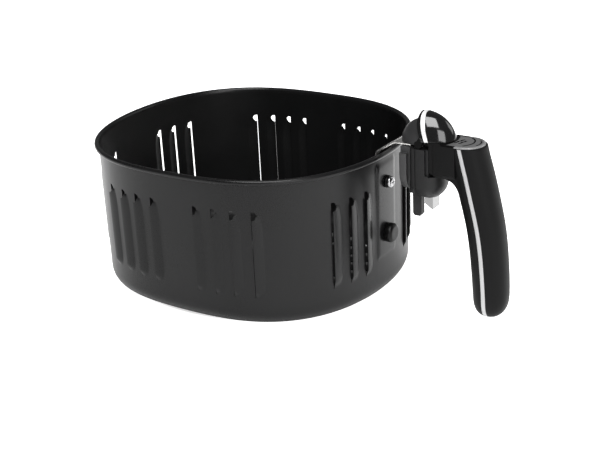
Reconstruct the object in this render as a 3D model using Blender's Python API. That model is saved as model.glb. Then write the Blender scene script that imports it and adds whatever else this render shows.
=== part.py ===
# Removable frying basket of a household air fryer, with its release handle.
# Metres, +Z up.  The basket stands on z = 0 about the origin, the handle points
# along +X.  Lengths below are millimetres and are scaled once, in make_mesh().
import bpy
import bmesh
import math
import numpy as np
from mathutils import Vector, Matrix

for _o in list(bpy.data.objects):
    bpy.data.objects.remove(_o, do_unlink=True)

MM = 0.001
GAP = 0.3                       # air left between pieces that touch

# ---------------------------------------------------------------- basket
PLAN_R = 100.0                  # mean plan radius of the rolled rim
PLAN_C2, PLAN_C4, PLAN_C6 = 0.0483, -0.0291, 0.0010
BEAD_R = 1.7                    # radius of the rolled rim
BEAD_Z = 94.9                   # height of the rim's centre line
SHEET = 0.8                     # sheet thickness
WALL_IN = 2.8                   # rim face to outer wall face
TAPER = 0.84                    # how much the wall draws in towards the floor
CORNER = 10.0                   # floor to wall radius
LOUVRE_LO, LOUVRE_HI = 19.8, 76.0
LOUVRE_OUT = 1.9                # how far a louvre tongue stands out
LOUVRE_W = 3.9                  # louvre width, degrees of plan
LOUVRES_LONG = (-35.1, -26.9, -19.3, -11.0, 9.9, 17.9, 25.3, 33.2)
LOUVRES_SHORT = (-28.4, -20.7, -13.2, 16.3, 23.8, 31.3)
PANEL_DEG = 6.6                 # half width of the raised pad under the handle
PANEL_OUT = 0.8
REG = 60                        # regular columns of the rim and floor

# ---------------------------------------------------------------- handle
PIV_X, PIV_Z = 127.6, 107.1     # hinge line of the button cover
DOME_X, DOME_Z = 127.3, 105.3   # centre of both domes, a little below the hinge
VISOR_R, VISOR_W = 20.1, 12.5   # outside of the cover: radius, half width
VISOR_T = 1.7
CAP_R, CAP_W = 15.5, 9.9        # fixed dome in front of the button
HOUSE_W = 12.3                  # half width of the housing
HOUSE_TOP = 104.4
NECK_W = 11.5                   # half width of neck and grip
NECK_TOP, NECK_LOW = 109.0, 87.6
NECK_X = 134.5
TRAVEL = 2.5                    # stroke of the release button
LEVER_X, LEVER_Z = 123.5, 84.0  # hinge line of the latch lever


def material(name, color, rough, metal=0.0, coat=0.0):
    m = bpy.data.materials.new(name)
    m.use_nodes = True
    b = m.node_tree.nodes["Principled BSDF"]
    b.inputs["Base Color"].default_value = (color[0], color[1], color[2], 1.0)
    b.inputs["Roughness"].default_value = rough
    b.inputs["Metallic"].default_value = metal
    b.inputs["Coat Weight"].default_value = coat
    return m


def make_mesh(name, verts, faces, mat, smooth=True):
    me = bpy.data.meshes.new(name)
    me.from_pydata([tuple(c * MM for c in v) for v in verts], [], [tuple(f) for f in faces])
    me.update()
    bm = bmesh.new()
    bm.from_mesh(me)
    bmesh.ops.remove_doubles(bm, verts=bm.verts, dist=1e-7)
    bmesh.ops.recalc_face_normals(bm, faces=bm.faces)
    bm.to_mesh(me)
    bm.free()
    if smooth:
        for p in me.polygons:
            p.use_smooth = True
        me.set_sharp_from_angle(angle=math.radians(38))
    ob = bpy.data.objects.new(name, me)
    bpy.context.scene.collection.objects.link(ob)
    me.materials.append(mat)
    return ob


def boolean(ob, others, op):
    """Bake a boolean with each of the other objects, then drop them."""
    for c in others:
        m = ob.modifiers.new("b", 'BOOLEAN')
        m.operation = op
        m.solver = 'EXACT'
        m.object = c
        dg = bpy.context.evaluated_depsgraph_get()
        dg.update()
        me = bpy.data.meshes.new_from_object(ob.evaluated_get(dg))
        ob.modifiers.clear()
        old = ob.data
        ob.data = me
        me.name = ob.name
        bpy.data.meshes.remove(old)
        bpy.data.objects.remove(c, do_unlink=True)
    me = ob.data
    bm = bmesh.new()
    bm.from_mesh(me)
    bmesh.ops.remove_doubles(bm, verts=bm.verts, dist=2e-6)
    bmesh.ops.dissolve_degenerate(bm, edges=bm.edges, dist=2e-6)
    bmesh.ops.recalc_face_normals(bm, faces=bm.faces)
    bm.to_mesh(me)
    bm.free()
    for p in me.polygons:
        p.use_smooth = True
    me.set_sharp_from_angle(angle=math.radians(38))
    return ob


def box(name, lo, hi, mat, bevel=0.0, seg=2):
    (x0, y0, z0), (x1, y1, z1) = lo, hi
    v = [(x, y, z) for x in (x0, x1) for y in (y0, y1) for z in (z0, z1)]
    f = [(0, 1, 3, 2), (4, 6, 7, 5), (0, 4, 5, 1), (2, 3, 7, 6), (0, 2, 6, 4), (1, 5, 7, 3)]
    ob = make_mesh(name, v, f, mat)
    if bevel > 0:
        bm = bmesh.new()
        bm.from_mesh(ob.data)
        bmesh.ops.bevel(bm, geom=bm.edges[:], offset=bevel * MM, segments=seg,
                        affect='EDGES', profile=0.5)
        bmesh.ops.recalc_face_normals(bm, faces=bm.faces)
        bm.to_mesh(ob.data)
        bm.free()
        for p in ob.data.polygons:
            p.use_smooth = True
        ob.data.set_sharp_from_angle(angle=math.radians(38))
    return ob


def lathe(name, prof, origin, axis, mat, seg=28):
    """Closed round body: prof is (radius, height) from one pole to the other."""
    ax = {'x': Vector((1, 0, 0)), 'y': Vector((0, 1, 0)), 'z': Vector((0, 0, 1))}[axis]
    u = {'x': Vector((0, 1, 0)), 'y': Vector((0, 0, 1)), 'z': Vector((1, 0, 0))}[axis]
    w = ax.cross(u)
    o = Vector(origin)
    verts, faces, rings = [], [], []
    for r, h in prof:
        if r < 1e-6:
            rings.append([len(verts)])
            verts.append(tuple(o + ax * h))
        else:
            ring = []
            for k in range(seg):
                a = 2 * math.pi * k / seg
                ring.append(len(verts))
                verts.append(tuple(o + ax * h + (u * math.cos(a) + w * math.sin(a)) * r))
            rings.append(ring)
    for a, b in zip(rings[:-1], rings[1:]):
        for k in range(seg):
            k2 = (k + 1) % seg
            if len(a) == 1 and len(b) == 1:
                continue
            if len(a) == 1:
                faces.append((a[0], b[k], b[k2]))
            elif len(b) == 1:
                faces.append((a[k], a[k2], b[0]))
            else:
                faces.append((a[k], a[k2], b[k2], b[k]))
    return make_mesh(name, verts, faces, mat)


def loft(name, sections, mat, cap=True, closed=False, folded=False):
    """Skin equal-length closed loops.  The ends are n-gons, or strips of quads
    when the second half of a folded loop runs back alongside the first."""
    n = len(sections[0])
    verts = [p for s in sections for p in s]
    faces = []
    m = len(sections)
    for i in range(m if closed else m - 1):
        j = (i + 1) % m
        for k in range(n):
            k2 = (k + 1) % n
            faces.append((i * n + k, i * n + k2, j * n + k2, j * n + k))
    if folded:
        for o in (0, (m - 1) * n):
            for k in range(n // 2 - 1):
                q = (o + k, o + k + 1, o + n - 2 - k, o + n - 1 - k)
                faces.append(q[::-1] if o == 0 else q)
    elif cap and not closed:
        faces.append(tuple(range(n))[::-1])
        faces.append(tuple(range((m - 1) * n, m * n)))
    return make_mesh(name, verts, faces, mat)


def curve_at(table, t):
    ts = [a for a, _ in table]
    vs = [b for _, b in table]
    return float(np.interp(t, ts, vs))


def smooth_table(table, t):
    """Monotone-ish cubic through a short table of (t, value)."""
    ts = [a for a, _ in table]
    vs = [b for _, b in table]
    if t <= ts[0]:
        return vs[0]
    if t >= ts[-1]:
        return vs[-1]
    i = max(k for k in range(len(ts)) if ts[k] <= t)
    i = min(i, len(ts) - 2)
    h = ts[i + 1] - ts[i]

    def slope(k):
        if k == 0:
            return (vs[1] - vs[0]) / (ts[1] - ts[0])
        if k == len(ts) - 1:
            return (vs[-1] - vs[-2]) / (ts[-1] - ts[-2])
        return (vs[k + 1] - vs[k - 1]) / (ts[k + 1] - ts[k - 1])
    s = (t - ts[i]) / h
    a, b = slope(i) * h, slope(i + 1) * h
    return ((2 * s ** 3 - 3 * s ** 2 + 1) * vs[i] + (s ** 3 - 2 * s ** 2 + s) * a
            + (-2 * s ** 3 + 3 * s ** 2) * vs[i + 1] + (s ** 3 - s ** 2) * b)


# ---------------------------------------------------------------- materials
M_COAT = material("nonstick_coating", (0.030, 0.030, 0.031), 0.42, 0.0, 0.15)
M_STEEL = material("stainless_steel", (0.62, 0.61, 0.59), 0.28, 1.0)
M_ZINC = material("plated_steel", (0.72, 0.72, 0.73), 0.25, 1.0)
M_CHROME = material("chrome_trim", (0.80, 0.80, 0.80), 0.12, 1.0)
M_MATTE = material("matte_black_plastic", (0.022, 0.022, 0.023), 0.55)
M_CAP = material("satin_dome_plastic", (0.035, 0.035, 0.036), 0.50)
M_GLOSS = material("gloss_black_plastic", (0.010, 0.010, 0.011), 0.07, 0.0, 0.6)
M_GREY = material("grey_lever_plastic", (0.075, 0.075, 0.075), 0.5)
M_RUBBER = material("black_rubber", (0.015, 0.015, 0.015), 0.85)
M_SILVER = material("silver_inlay", (0.63, 0.63, 0.62), 0.35, 0.6)
M_LABEL = material("top_plate_plastic", (0.09, 0.09, 0.092), 0.45)
M_BORDER = material("grey_border", (0.38, 0.38, 0.38), 0.4, 0.3)


# ---------------------------------------------------------------- basket shell
def plan(t):
    return PLAN_R * (1 + PLAN_C2 * math.cos(2 * t) + PLAN_C4 * math.cos(4 * t)
                     + PLAN_C6 * math.cos(6 * t))


def wall_offset(z):
    return -(WALL_IN + TAPER * (BEAD_Z - z) / BEAD_Z)


def build_basket():
    slits = sorted([(-90 + a) for a in LOUVRES_LONG] + [(90 + a) for a in LOUVRES_LONG]
                   + [a for a in LOUVRES_SHORT] + [(180 + a) if a < 0 else (a - 180) for a in LOUVRES_SHORT])
    cols = []                                   # (angle in degrees, kind)
    for s in slits:
        cols += [(s - 0.13, 'L'), (s + 0.13, 'T'), (s + LOUVRE_W, 'F')]
    cols += [(-PANEL_DEG, 'p'), (-PANEL_DEG + 0.7, 'P'), (0.0, 'P'), (PANEL_DEG - 0.7, 'P'), (PANEL_DEG, 'p')]
    cols.sort()
    # fill the wide bare stretches
    fill = []
    for (a, ka), (b, kb) in zip(cols, cols[1:] + [(cols[0][0] + 360, cols[0][1])]):
        if b - a > 6.5 and not (ka in 'pP' and kb in 'pP'):
            n = int(math.ceil((b - a) / 6.0))
            fill += [(a + (b - a) * k / n, 'f') for k in range(1, n)]
    cols = sorted(cols + fill)
    rows = [CORNER, LOUVRE_LO, 27.0, 48.0, 71.5, LOUVRE_HI, 88.0, 93.2]
    out = {LOUVRE_LO: 0.0, 27.0: 0.85, 48.0: 1.0, 71.5: 0.95}
    nC, nR = len(cols), len(rows)
    verts, faces = [], []

    def put(r, t, z):
        verts.append((r * math.cos(t), r * math.sin(t), z))
        return len(verts) - 1

    def disp(kind, z):
        if kind == 'T':
            return LOUVRE_OUT * out.get(z, 0.0)
        if kind == 'P' and 27.0 <= z <= 88.0:
            return PANEL_OUT
        return 0.0

    O = [[put(plan(math.radians(a)) + wall_offset(z) + disp(k, z), math.radians(a), z)
          for a, k in cols] for z in rows]
    I = [[put(plan(math.radians(a)) + wall_offset(z) + disp(k, z) - SHEET, math.radians(a), z)
          for a, k in cols] for z in rows]
    present = [[True] * nC for _ in range(nR - 1)]
    for j, (a, k) in enumerate(cols):
        if k == 'L':
            for i in range(nR - 1):
                if rows[i] >= LOUVRE_LO and rows[i + 1] <= LOUVRE_HI:
                    present[i][j] = False
            i = rows.index(71.5)
            present[i][(j + 1) % nC] = False    # open mouth at the top of the tongue
    for i in range(nR - 1):
        for j in range(nC):
            j2 = (j + 1) % nC
            if present[i][j]:
                faces.append((O[i][j], O[i][j2], O[i + 1][j2], O[i + 1][j]))
                faces.append((I[i][j], I[i + 1][j], I[i + 1][j2], I[i][j2]))
                if not present[i][j - 1]:
                    faces.append((O[i][j], O[i + 1][j], I[i + 1][j], I[i][j]))
                if not present[i][j2]:
                    faces.append((O[i][j2], I[i][j2], I[i + 1][j2], O[i + 1][j2]))
                if i > 0 and not present[i - 1][j]:
                    faces.append((O[i][j], I[i][j], I[i][j2], O[i][j2]))
                if i < nR - 2 and not present[i + 1][j]:
                    faces.append((O[i + 1][j], O[i + 1][j2], I[i + 1][j2], I[i + 1][j]))

    reg = [-180 + 360.0 * k / REG for k in range(REG)]
    col_a = [a for a, _ in cols]

    def zipper(ra, aa, rb, ab):
        """Stitch two rings with different numbers of vertices."""
        na, nb = len(ra), len(rb)
        i = j = 0
        # start both rings at their smallest angle
        while i < na or j < nb:
            ang_a = aa[(i + 1) % na] + 360 * ((i + 1) // na)
            ang_b = ab[(j + 1) % nb] + 360 * ((j + 1) // nb)
            if j >= nb or (i < na and ang_a <= ang_b):
                faces.append((ra[i % na], ra[(i + 1) % na], rb[j % nb]))
                i += 1
            else:
                faces.append((ra[i % na], rb[(j + 1) % nb], rb[j % nb]))
                j += 1

    def ring(off, z):
        return [put(plan(math.radians(a)) + off, math.radians(a), z) for a in reg]

    # rolled rim
    bead = []
    for deg in (-125, -85, -40, 5, 50, 95, 140):
        t = math.radians(deg)
        bead.append((-BEAD_R + BEAD_R * math.cos(t), BEAD_Z + BEAD_R * math.sin(t)))
    bead.append((-WALL_IN - SHEET, BEAD_Z - 0.2))
    rings = [ring(o, z) for o, z in bead]
    zipper(O[-1], col_a, rings[0], reg)
    for a, b in zip(rings[:-1], rings[1:]):
        for k in range(REG):
            k2 = (k + 1) % REG
            faces.append((a[k], a[k2], b[k2], b[k]))
    zipper(rings[-1], reg, I[-1], col_a)

    # corner and floor
    def corner(th, extra):
        pts = []
        for ph in (18, 45, 70, 90):
            a = math.radians(ph)
            pts.append((wall_offset(CORNER) - extra - (CORNER - extra) * (1 - math.cos(a)),
                        CORNER - (CORNER - extra) * math.sin(a)))
        return pts
    oc = [ring(o, z) for o, z in corner(0, 0.0)]
    ic = [ring(o, z) for o, z in corner(0, SHEET)]
    zipper(oc[0], reg, O[0], col_a)
    zipper(I[0], col_a, ic[0], reg)
    for rr in (oc, ic):
        for a, b in zip(rr[:-1], rr[1:]):
            for k in range(REG):
                k2 = (k + 1) % REG
                faces.append((a[k], a[k2], b[k2], b[k]))
    # floor with two rings of air slots round a solid middle
    radii = [78.0, 54.0, 46.0, 26.0]

    def flat(r, z):
        return [put(r, math.radians(a), z) for a in reg]
    fo = [oc[-1]] + [flat(r, 0.0) for r in radii]
    fi = [ic[-1]] + [flat(r, SHEET) for r in radii]
    hole = {1: 0, 3: 0}
    for i in range(len(fo) - 1):
        for k in range(REG):
            k2 = (k + 1) % REG
            open_ = i in hole and k % 2 == 0
            if not open_:
                faces.append((fo[i][k], fo[i + 1][k], fo[i + 1][k2], fo[i][k2]))
                faces.append((fi[i][k], fi[i][k2], fi[i + 1][k2], fi[i + 1][k]))
            else:
                faces.append((fo[i][k], fi[i][k], fi[i + 1][k], fo[i + 1][k]))
                faces.append((fo[i][k2], fo[i + 1][k2], fi[i + 1][k2], fi[i][k2]))
                faces.append((fo[i][k], fo[i][k2], fi[i][k2], fi[i][k]))
                faces.append((fo[i + 1][k], fi[i + 1][k], fi[i + 1][k2], fo[i + 1][k2]))
    co = put(0, 0, 0.0)
    ci = put(0, 0, SHEET)
    for k in range(REG):
        k2 = (k + 1) % REG
        faces.append((fo[-1][k], co, fo[-1][k2]))
        faces.append((fi[-1][k], fi[-1][k2], ci))
    ob = make_mesh("basket_shell", verts, faces, M_COAT)
    return ob


basket = build_basket()
WALL_X = plan(0.0) + wall_offset(60.0) + PANEL_OUT      # outer face of the pad
SCREW_Z, PLUG_Z = 76.0, 42.0
boolean(basket, [lathe("c1", [(0, -6), (2.3, -6), (2.3, 6), (0, 6)], (WALL_X, 0, SCREW_Z), 'x', M_COAT, 16),
                 lathe("c2", [(0, -6), (3.3, -6), (3.3, 6), (0, 6)], (WALL_X, 0, PLUG_Z), 'x', M_COAT, 16)],
        'DIFFERENCE')

# ---------------------------------------------------------------- on the wall
PLUG_R, PLUG_L = 6.2, 5.4
plug = lathe("rubber_bumper", [(0, -3.6), (4.4, -3.6), (5.0, -3.0), (5.0, -1.9), (4.6, -1.4), (3.0, -1.4), (3.0, 0.3),
                               (PLUG_R - 0.3, 0.3), (PLUG_R, 0.7), (PLUG_R, 3.2), (PLUG_R - 0.5, 4.4),
                               (PLUG_R - 1.7, 5.2), (2.6, PLUG_L), (0, PLUG_L)],
             (WALL_X, 0, PLUG_Z), 'x', M_RUBBER, 24)
spacer = lathe("screw_spacer", [(2.1, 0.3), (3.7, 0.3), (4.0, 0.6), (4.0, 1.5), (3.7, 1.8), (2.1, 1.8), (2.1, 0.3)],
               (WALL_X, 0, SCREW_Z), 'x', M_RUBBER, 24)
screw = lathe("wall_screw", [(0, -6.0), (1.3, -6.0), (1.75, -5.5), (1.75, 2.1), (3.65, 2.1), (3.65, 2.9),
                             (3.3, 3.7), (2.5, 4.25), (1.3, 4.55), (0, 4.6)],
              (WALL_X, 0, SCREW_Z), 'x', M_ZINC, 24)
boolean(screw, [box("x1", (WALL_X + 3.2, -2.2, SCREW_Z - 0.45), (WALL_X + 6, 2.2, SCREW_Z + 0.45), M_ZINC),
                box("x2", (WALL_X + 3.2, -0.45, SCREW_Z - 2.2), (WALL_X + 6, 0.45, SCREW_Z + 2.2), M_ZINC)],
        'DIFFERENCE')

# ---------------------------------------------------------------- rim bracket
# A steel strap: up the inside of the wall, slanting over the rolled rim and
# level again on top of the handle's mount.
STRAP_T, STRAP_W = 1.2, 8.0
STRAP = [(97.0, 66.0), (97.0, 80.0), (97.0, 95.2), (97.3, 96.8), (98.2, 98.0), (107.6, 103.9), (109.0, 104.7),
         (110.8, 105.1), (121.0, 105.1)]


def strap_outline():
    left, right = [], []
    n = len(STRAP)
    for i, (x, z) in enumerate(STRAP):
        a = STRAP[max(0, i - 1)]
        b = STRAP[min(n - 1, i + 1)]
        d = math.hypot(b[0] - a[0], b[1] - a[1])
        nx, nz = -(b[1] - a[1]) / d, (b[0] - a[0]) / d
        left.append((x + nx * STRAP_T / 2, z + nz * STRAP_T / 2))
        right.append((x - nx * STRAP_T / 2, z - nz * STRAP_T / 2))
    return left + right[::-1]


def extrude_y(name, outline, ys, mat, inset=None):
    secs = []
    for k, y in enumerate(ys):
        secs.append([(x, y, z) for x, z in (inset(y) if inset else outline)])
    return loft(name, secs, mat)


bracket = extrude_y("rim_bracket", strap_outline(), (-STRAP_W, STRAP_W), M_STEEL)
boolean(bracket, [lathe("c", [(0, -9), (2.15, -9), (2.15, 0), (0, 0)], (WALL_X, 0, SCREW_Z), 'x', M_STEEL, 16)],
        'DIFFERENCE')

# ---------------------------------------------------------------- mount block
def shield(half, top, low, n=8):
    """Outline across the part (y, z): straight sides and a rounded lower end."""
    pts = [(-half, top)]
    for k in range(2 * n + 1):
        t = math.pi * k / (2 * n)
        c = -math.cos(t)
        y = half * math.copysign(abs(c) ** 0.8, c)
        pts.append((y, low + 12.5 * (1 - abs(math.sin(t)) ** 0.9)))
    pts.append((half, top))
    return pts


mount = loft("mount_block", [[(x, y, z) for y, z in shield(h, t, l)] for x, h, t, l in
                             ((114.9, 11.4, 104.2, 76.2), (115.4, 12.0, 104.2, 75.7), (119.2, 12.0, 104.2, 75.7),
                              (119.7, 11.6, 104.2, 76.0), (121.2, 11.6, 104.2, 76.0))], M_MATTE)
boolean(mount, [box("c", (113, -2.6, 70), (123, 2.6, 83), M_MATTE),
                box("c2", (118.0, -2.6, 82), (123, 2.6, 90), M_MATTE),
                box("c3", (112.0, -14.0, 100.4), (123, -9.4, 106.0), M_MATTE),
                box("c4", (112.0, 9.4, 100.4), (123, 14.0, 106.0), M_MATTE),
                box("c5", (119.7, -14.0, 70.0), (123, -9.4, 106.0), M_MATTE),
                box("c6", (119.7, 9.4, 70.0), (123, 14.0, 106.0), M_MATTE)], 'DIFFERENCE')

# ---------------------------------------------------------------- housing
BOWL_X, BOWL_Z, BOWL_R = 130.7, 81.4, 10.3


def housing_plan():
    """Half of the plan at the bowl's equator, near side, from the mount to the neck: (x, half width)."""
    return [(121.5, 0.0), (121.5, 9.6), (121.9, 10.8), (122.9, 11.6), (124.9, 11.7), (125.4, 11.7), (125.8, 12.2),
            (126.6, 12.3), (131.5, 12.3), (134.0, 11.6), (136.3, 10.1), (138.2, 7.8), (139.6, 5.1), (140.3, 2.5),
            (140.5, 0.0)]


def housing_slice(z):
    if z >= BOWL_Z:
        k = 1.0
    else:
        k = math.sqrt(max(0.0, 1 - ((BOWL_Z - z) / BOWL_R) ** 2))
    half = [(BOWL_X + (x - BOWL_X) * k, w * k) for x, w in housing_plan()]
    near = [(x, -w, z) for x, w in half]
    far = [(x, w, z) for x, w in half[1:-1]][::-1]
    return near + far


H_Z = [HOUSE_TOP, BOWL_Z] + [BOWL_Z - BOWL_R * math.sin(math.radians(d)) for d in (14, 28, 42, 55, 67, 77, 84)]
house = loft("handle_housing", [housing_slice(z) for z in H_Z], M_MATTE)
boolean(house, [box("t", (121.5, -11.2, 75.6), (124.9, 11.2, 84.0), M_MATTE, 0.8, 2)], 'UNION')
WELL = ((128.8, -6.0, 90.0), (138.8, 6.0, 125.0))
boolean(house, [box("n", (134.2, -14.0, 87.3), (145.0, 14.0, 110.0), M_MATTE),
                box("c1", WELL[0], WELL[1], M_MATTE),
                box("c2", (120.0, -5.1, 60.0), (134.6, 5.1, 88.6), M_MATTE),
                box("c3", (128.9, -2.2, 87.0), (132.1, 2.2, 92.0), M_MATTE),
                box("s1", (132.3, -14.0, 88.1), (136.0, -11.0, 110.0), M_MATTE),
                box("s2", (132.3, 11.0, 88.1), (136.0, 14.0, 110.0), M_MATTE),
                lathe("c4", [(0, -10.4), (1.3, -10.4), (1.3, 10.4), (0, 10.4)], (LEVER_X, 0, LEVER_Z), 'y', M_MATTE, 16)],
        'DIFFERENCE')


# ---------------------------------------------------------------- domes
def dome_point(r, w, lat, phi):
    """Point of a flattened ball about the hinge line: lat runs along Y."""
    a = math.radians(lat)
    p = math.radians(phi)
    rho = r * math.cos(a)
    return (DOME_X + rho * math.sin(p), w * math.sin(a), DOME_Z + rho * math.cos(p))


# Front line of the cover and the two edges of its bright ring, all leaning back as they rise.
LIP = [(130.25, 109.3), (128.7, 112.2), (126.9, 116.2), (125.8, 119.5), (125.4, 123.0), (125.4, 130.0)]
RING_FRONT = [(132.2, 109.5), (131.3, 111.6), (130.1, 114.8), (128.8, 118.2), (127.8, 121.4), (127.1, 123.8), (126.7, 126.5)]
RING_REAR = [(134.3, 109.5), (133.6, 111.8), (132.4, 115.0), (131.3, 118.4), (130.4, 121.7), (129.4, 124.2), (128.5, 126.5)]


def egg(name, shrink, mat, seg=60, rows=20):
    """Whole closed dome body round its own centre, smaller by shrink on every side."""
    r, w = VISOR_R - shrink, VISOR_W - shrink
    prof = []
    for k in range(rows + 1):
        t = math.pi * (k / rows - 0.5)
        prof.append((max(0.0, r * math.cos(t)) if 0 < k < rows else 0.0, w * math.sin(t)))
    return lathe(name, prof, (DOME_X, 0, DOME_Z), 'y', mat, seg)


def ring_strip(name, grow, low, mat):
    pts = ([(x - grow, z) for x, z in RING_FRONT] + [(x + grow, z) for x, z in RING_REAR[::-1]])
    pts[0] = (pts[0][0] + 0.3 * (RING_FRONT[0][1] - low) / 1.0, low)
    pts[-1] = (pts[-1][0] + 0.3 * (RING_REAR[0][1] - low) / 1.0, low)
    return extrude_y(name, pts, (-16.0, 16.0), mat)


visor = egg("button_cover", 0.0, M_GLOSS)
boolean(visor, [extrude_y("z", LIP + [(152.0, 130.0), (152.0, 109.3)], (-16.0, 16.0), M_GLOSS)], 'INTERSECT')
boolean(visor, [egg("i", VISOR_T, M_GLOSS)], 'DIFFERENCE')
groove = egg("g", -1.0, M_GLOSS)
boolean(groove, [ring_strip("gs", 0.3, 108.0, M_GLOSS)], 'INTERSECT')
boolean(groove, [egg("gi", 0.9, M_GLOSS)], 'DIFFERENCE')
boolean(visor, [groove], 'DIFFERENCE')
for s in (-1, 1):
    # ear: a disc round the hinge pin and a short arm up into the cover's side
    arm = [(PIV_X - 2.4, PIV_Z), (PIV_X - 1.7, PIV_Z - 1.7), (PIV_X, PIV_Z - 2.4), (PIV_X + 1.7, PIV_Z - 1.7),
           (PIV_X + 2.9, PIV_Z + 0.3), (131.2, 109.6), (130.1, 112.4), (128.9, 112.2), (PIV_X - 0.2, PIV_Z + 2.5),
           (PIV_X - 1.7, PIV_Z + 1.7)]
    ys = (s * 10.2, s * 11.8) if s > 0 else (s * 11.8, s * 10.2)
    boolean(visor, [extrude_y("e", arm, ys, M_GLOSS)], 'UNION')
boolean(visor, [lathe("p", [(0, -11.3), (1.3, -11.3), (1.3, 11.3), (0, 11.3)], (PIV_X, 0, PIV_Z), 'y', M_GLOSS, 16)],
        'DIFFERENCE')

trim = egg("cover_trim_ring", -0.15, M_CHROME)
boolean(trim, [ring_strip("ts", 0.0, 109.5, M_CHROME)], 'INTERSECT')
boolean(trim, [egg("ti", 0.6, M_CHROME)], 'DIFFERENCE')

CAP_T = 1.8


def cap_section(lat):
    low = -math.degrees(math.acos(min(0.95, 0.75 / (CAP_R * math.cos(math.radians(lat))))))
    phis = [low + (-2.0 - low) * k / 9 for k in range(10)]
    return ([dome_point(CAP_R, CAP_W, lat, p) for p in phis]
            + [dome_point(CAP_R - CAP_T, CAP_W - CAP_T, lat, p) for p in phis[::-1]])


cap = loft("dome_cap", [cap_section(t) for t in (-80, -70, -60, -48, -36, -24, -12, 0, 12, 24, 36, 48, 60, 70, 80)],
           M_CAP, folded=True)
for s in (-1, 1):
    boolean(cap, [lathe("l", [(0, s * 7.6), (2.4, s * 7.6), (2.4, s * 9.9), (0, s * 9.9)],
                        (PIV_X, 0, PIV_Z), 'y', M_CAP, 20)], 'UNION')
boolean(cap, [lathe("p", [(0, -14), (1.3, -14), (1.3, 14), (0, 14)], (PIV_X, 0, PIV_Z), 'y', M_CAP, 16),
              box("b", (105.0, -14.0, 95.0), (124.5, 14.0, 106.0), M_CAP)], 'DIFFERENCE')
for s, nm in ((-1, "cover_pin_near"), (1, "cover_pin_far")):
    lathe(nm, [(0, s * 7.8), (0.8, s * 7.8), (1.0, s * 8.0), (1.0, s * 10.8), (0.8, s * 11.0), (0, s * 11.0)],
          (PIV_X, 0, PIV_Z), 'y', M_ZINC, 16)

# ---------------------------------------------------------------- release button
BTN_X0, BTN_X1, BTN_W = 129.2, 138.4, 5.6


def button_section(x):
    pts = [(x, -BTN_W, 97.0)]
    for k in range(9):
        y = -BTN_W + 2 * BTN_W * k / 8
        v = 14.0 ** 2 * (1 - (y / 8.3) ** 2) - (x - PIV_X) ** 2
        pts.append((x, y, PIV_Z + math.sqrt(max(9.0, v))))
    pts.append((x, BTN_W, 97.0))
    return pts


button = loft("release_button", [button_section(x) for x in (BTN_X0, 130.6, 132.4, 134.2, 135.8, 137.2, BTN_X1)],
              M_CAP)
boolean(button, [box("s", (129.3, -1.8, 86.0), (131.7, 1.8, 98.0), M_CAP)], 'UNION')


def coil(name, origin, axis, radius, wire, length, turns, mat, seg=12, ring=6, closed_ends=True):
    ax = {'y': Vector((0, 1, 0)), 'z': Vector((0, 0, 1))}[axis]
    u = {'y': Vector((0, 0, 1)), 'z': Vector((1, 0, 0))}[axis]
    w = ax.cross(u)
    o = Vector(origin)
    n = int(seg * turns) + 1
    secs = []
    for i in range(n):
        t = i / (n - 1)
        a = 2 * math.pi * turns * t
        rad = u * math.cos(a) + w * math.sin(a)
        tan = (w * math.cos(a) - u * math.sin(a)) * radius * 2 * math.pi * turns + ax * length
        tan.normalize()
        c = o + rad * radius + ax * (length * t)
        b2 = tan.cross(rad).normalized()
        secs.append([tuple(c + (rad * math.cos(2 * math.pi * k / ring) + b2 * math.sin(2 * math.pi * k / ring)) * wire)
                     for k in range(ring)])
    return loft(name, secs, mat)


coil("button_spring", (135.25, 0, 90.8), 'z', 2.85, 0.45, 5.4, 3.5, M_ZINC)

# ---------------------------------------------------------------- latch
lever_profile = [(118.8, 59.0), (119.9, 57.6), (123.6, 57.6), (124.7, 59.0), (124.7, 78.0), (126.4, 81.6),
                 (132.4, 82.6), (132.4, 85.0), (127.0, 85.2), (125.3, 86.9), (123.0, 87.6), (120.8, 86.6),
                 (119.6, 84.4), (118.8, 80.0)]
lever = extrude_y("latch_lever", lever_profile, (-2.0, 2.0), M_GREY)
boolean(lever, [box("a", (126.6, -3.2, 82.0), (132.4, 3.2, 85.0), M_GREY)], 'UNION')
boolean(lever, [lathe("p", [(0, -5), (1.3, -5), (1.3, 5), (0, 5)], (LEVER_X, 0, LEVER_Z), 'y', M_GREY, 16)], 'DIFFERENCE')
lathe("latch_pin", [(0, -9.8), (0.8, -9.8), (1.0, -9.6), (1.0, 9.6), (0.8, 9.8), (0, 9.8)],
      (LEVER_X, 0, LEVER_Z), 'y', M_ZINC, 16)
coil("latch_spring", (LEVER_X, 2.8, LEVER_Z), 'y', 2.0, 0.4, 1.9, 2.0, M_ZINC)

# bright channel of folded sheet hanging from the lever arm
hook = box("latch_hook", (128.2, -4.5, 64.6), (133.8, 4.5, 84.8), M_ZINC)
boolean(hook, [box("h", (127.0, -3.5, 60.0), (132.7, 3.5, 90.0), M_ZINC),
               extrude_y("h2", [(126, 60), (136, 60), (133.0, 64.7), (128.0, 68.0), (126, 68.0)], (-6, 6), M_ZINC)],
        'DIFFERENCE')

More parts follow.
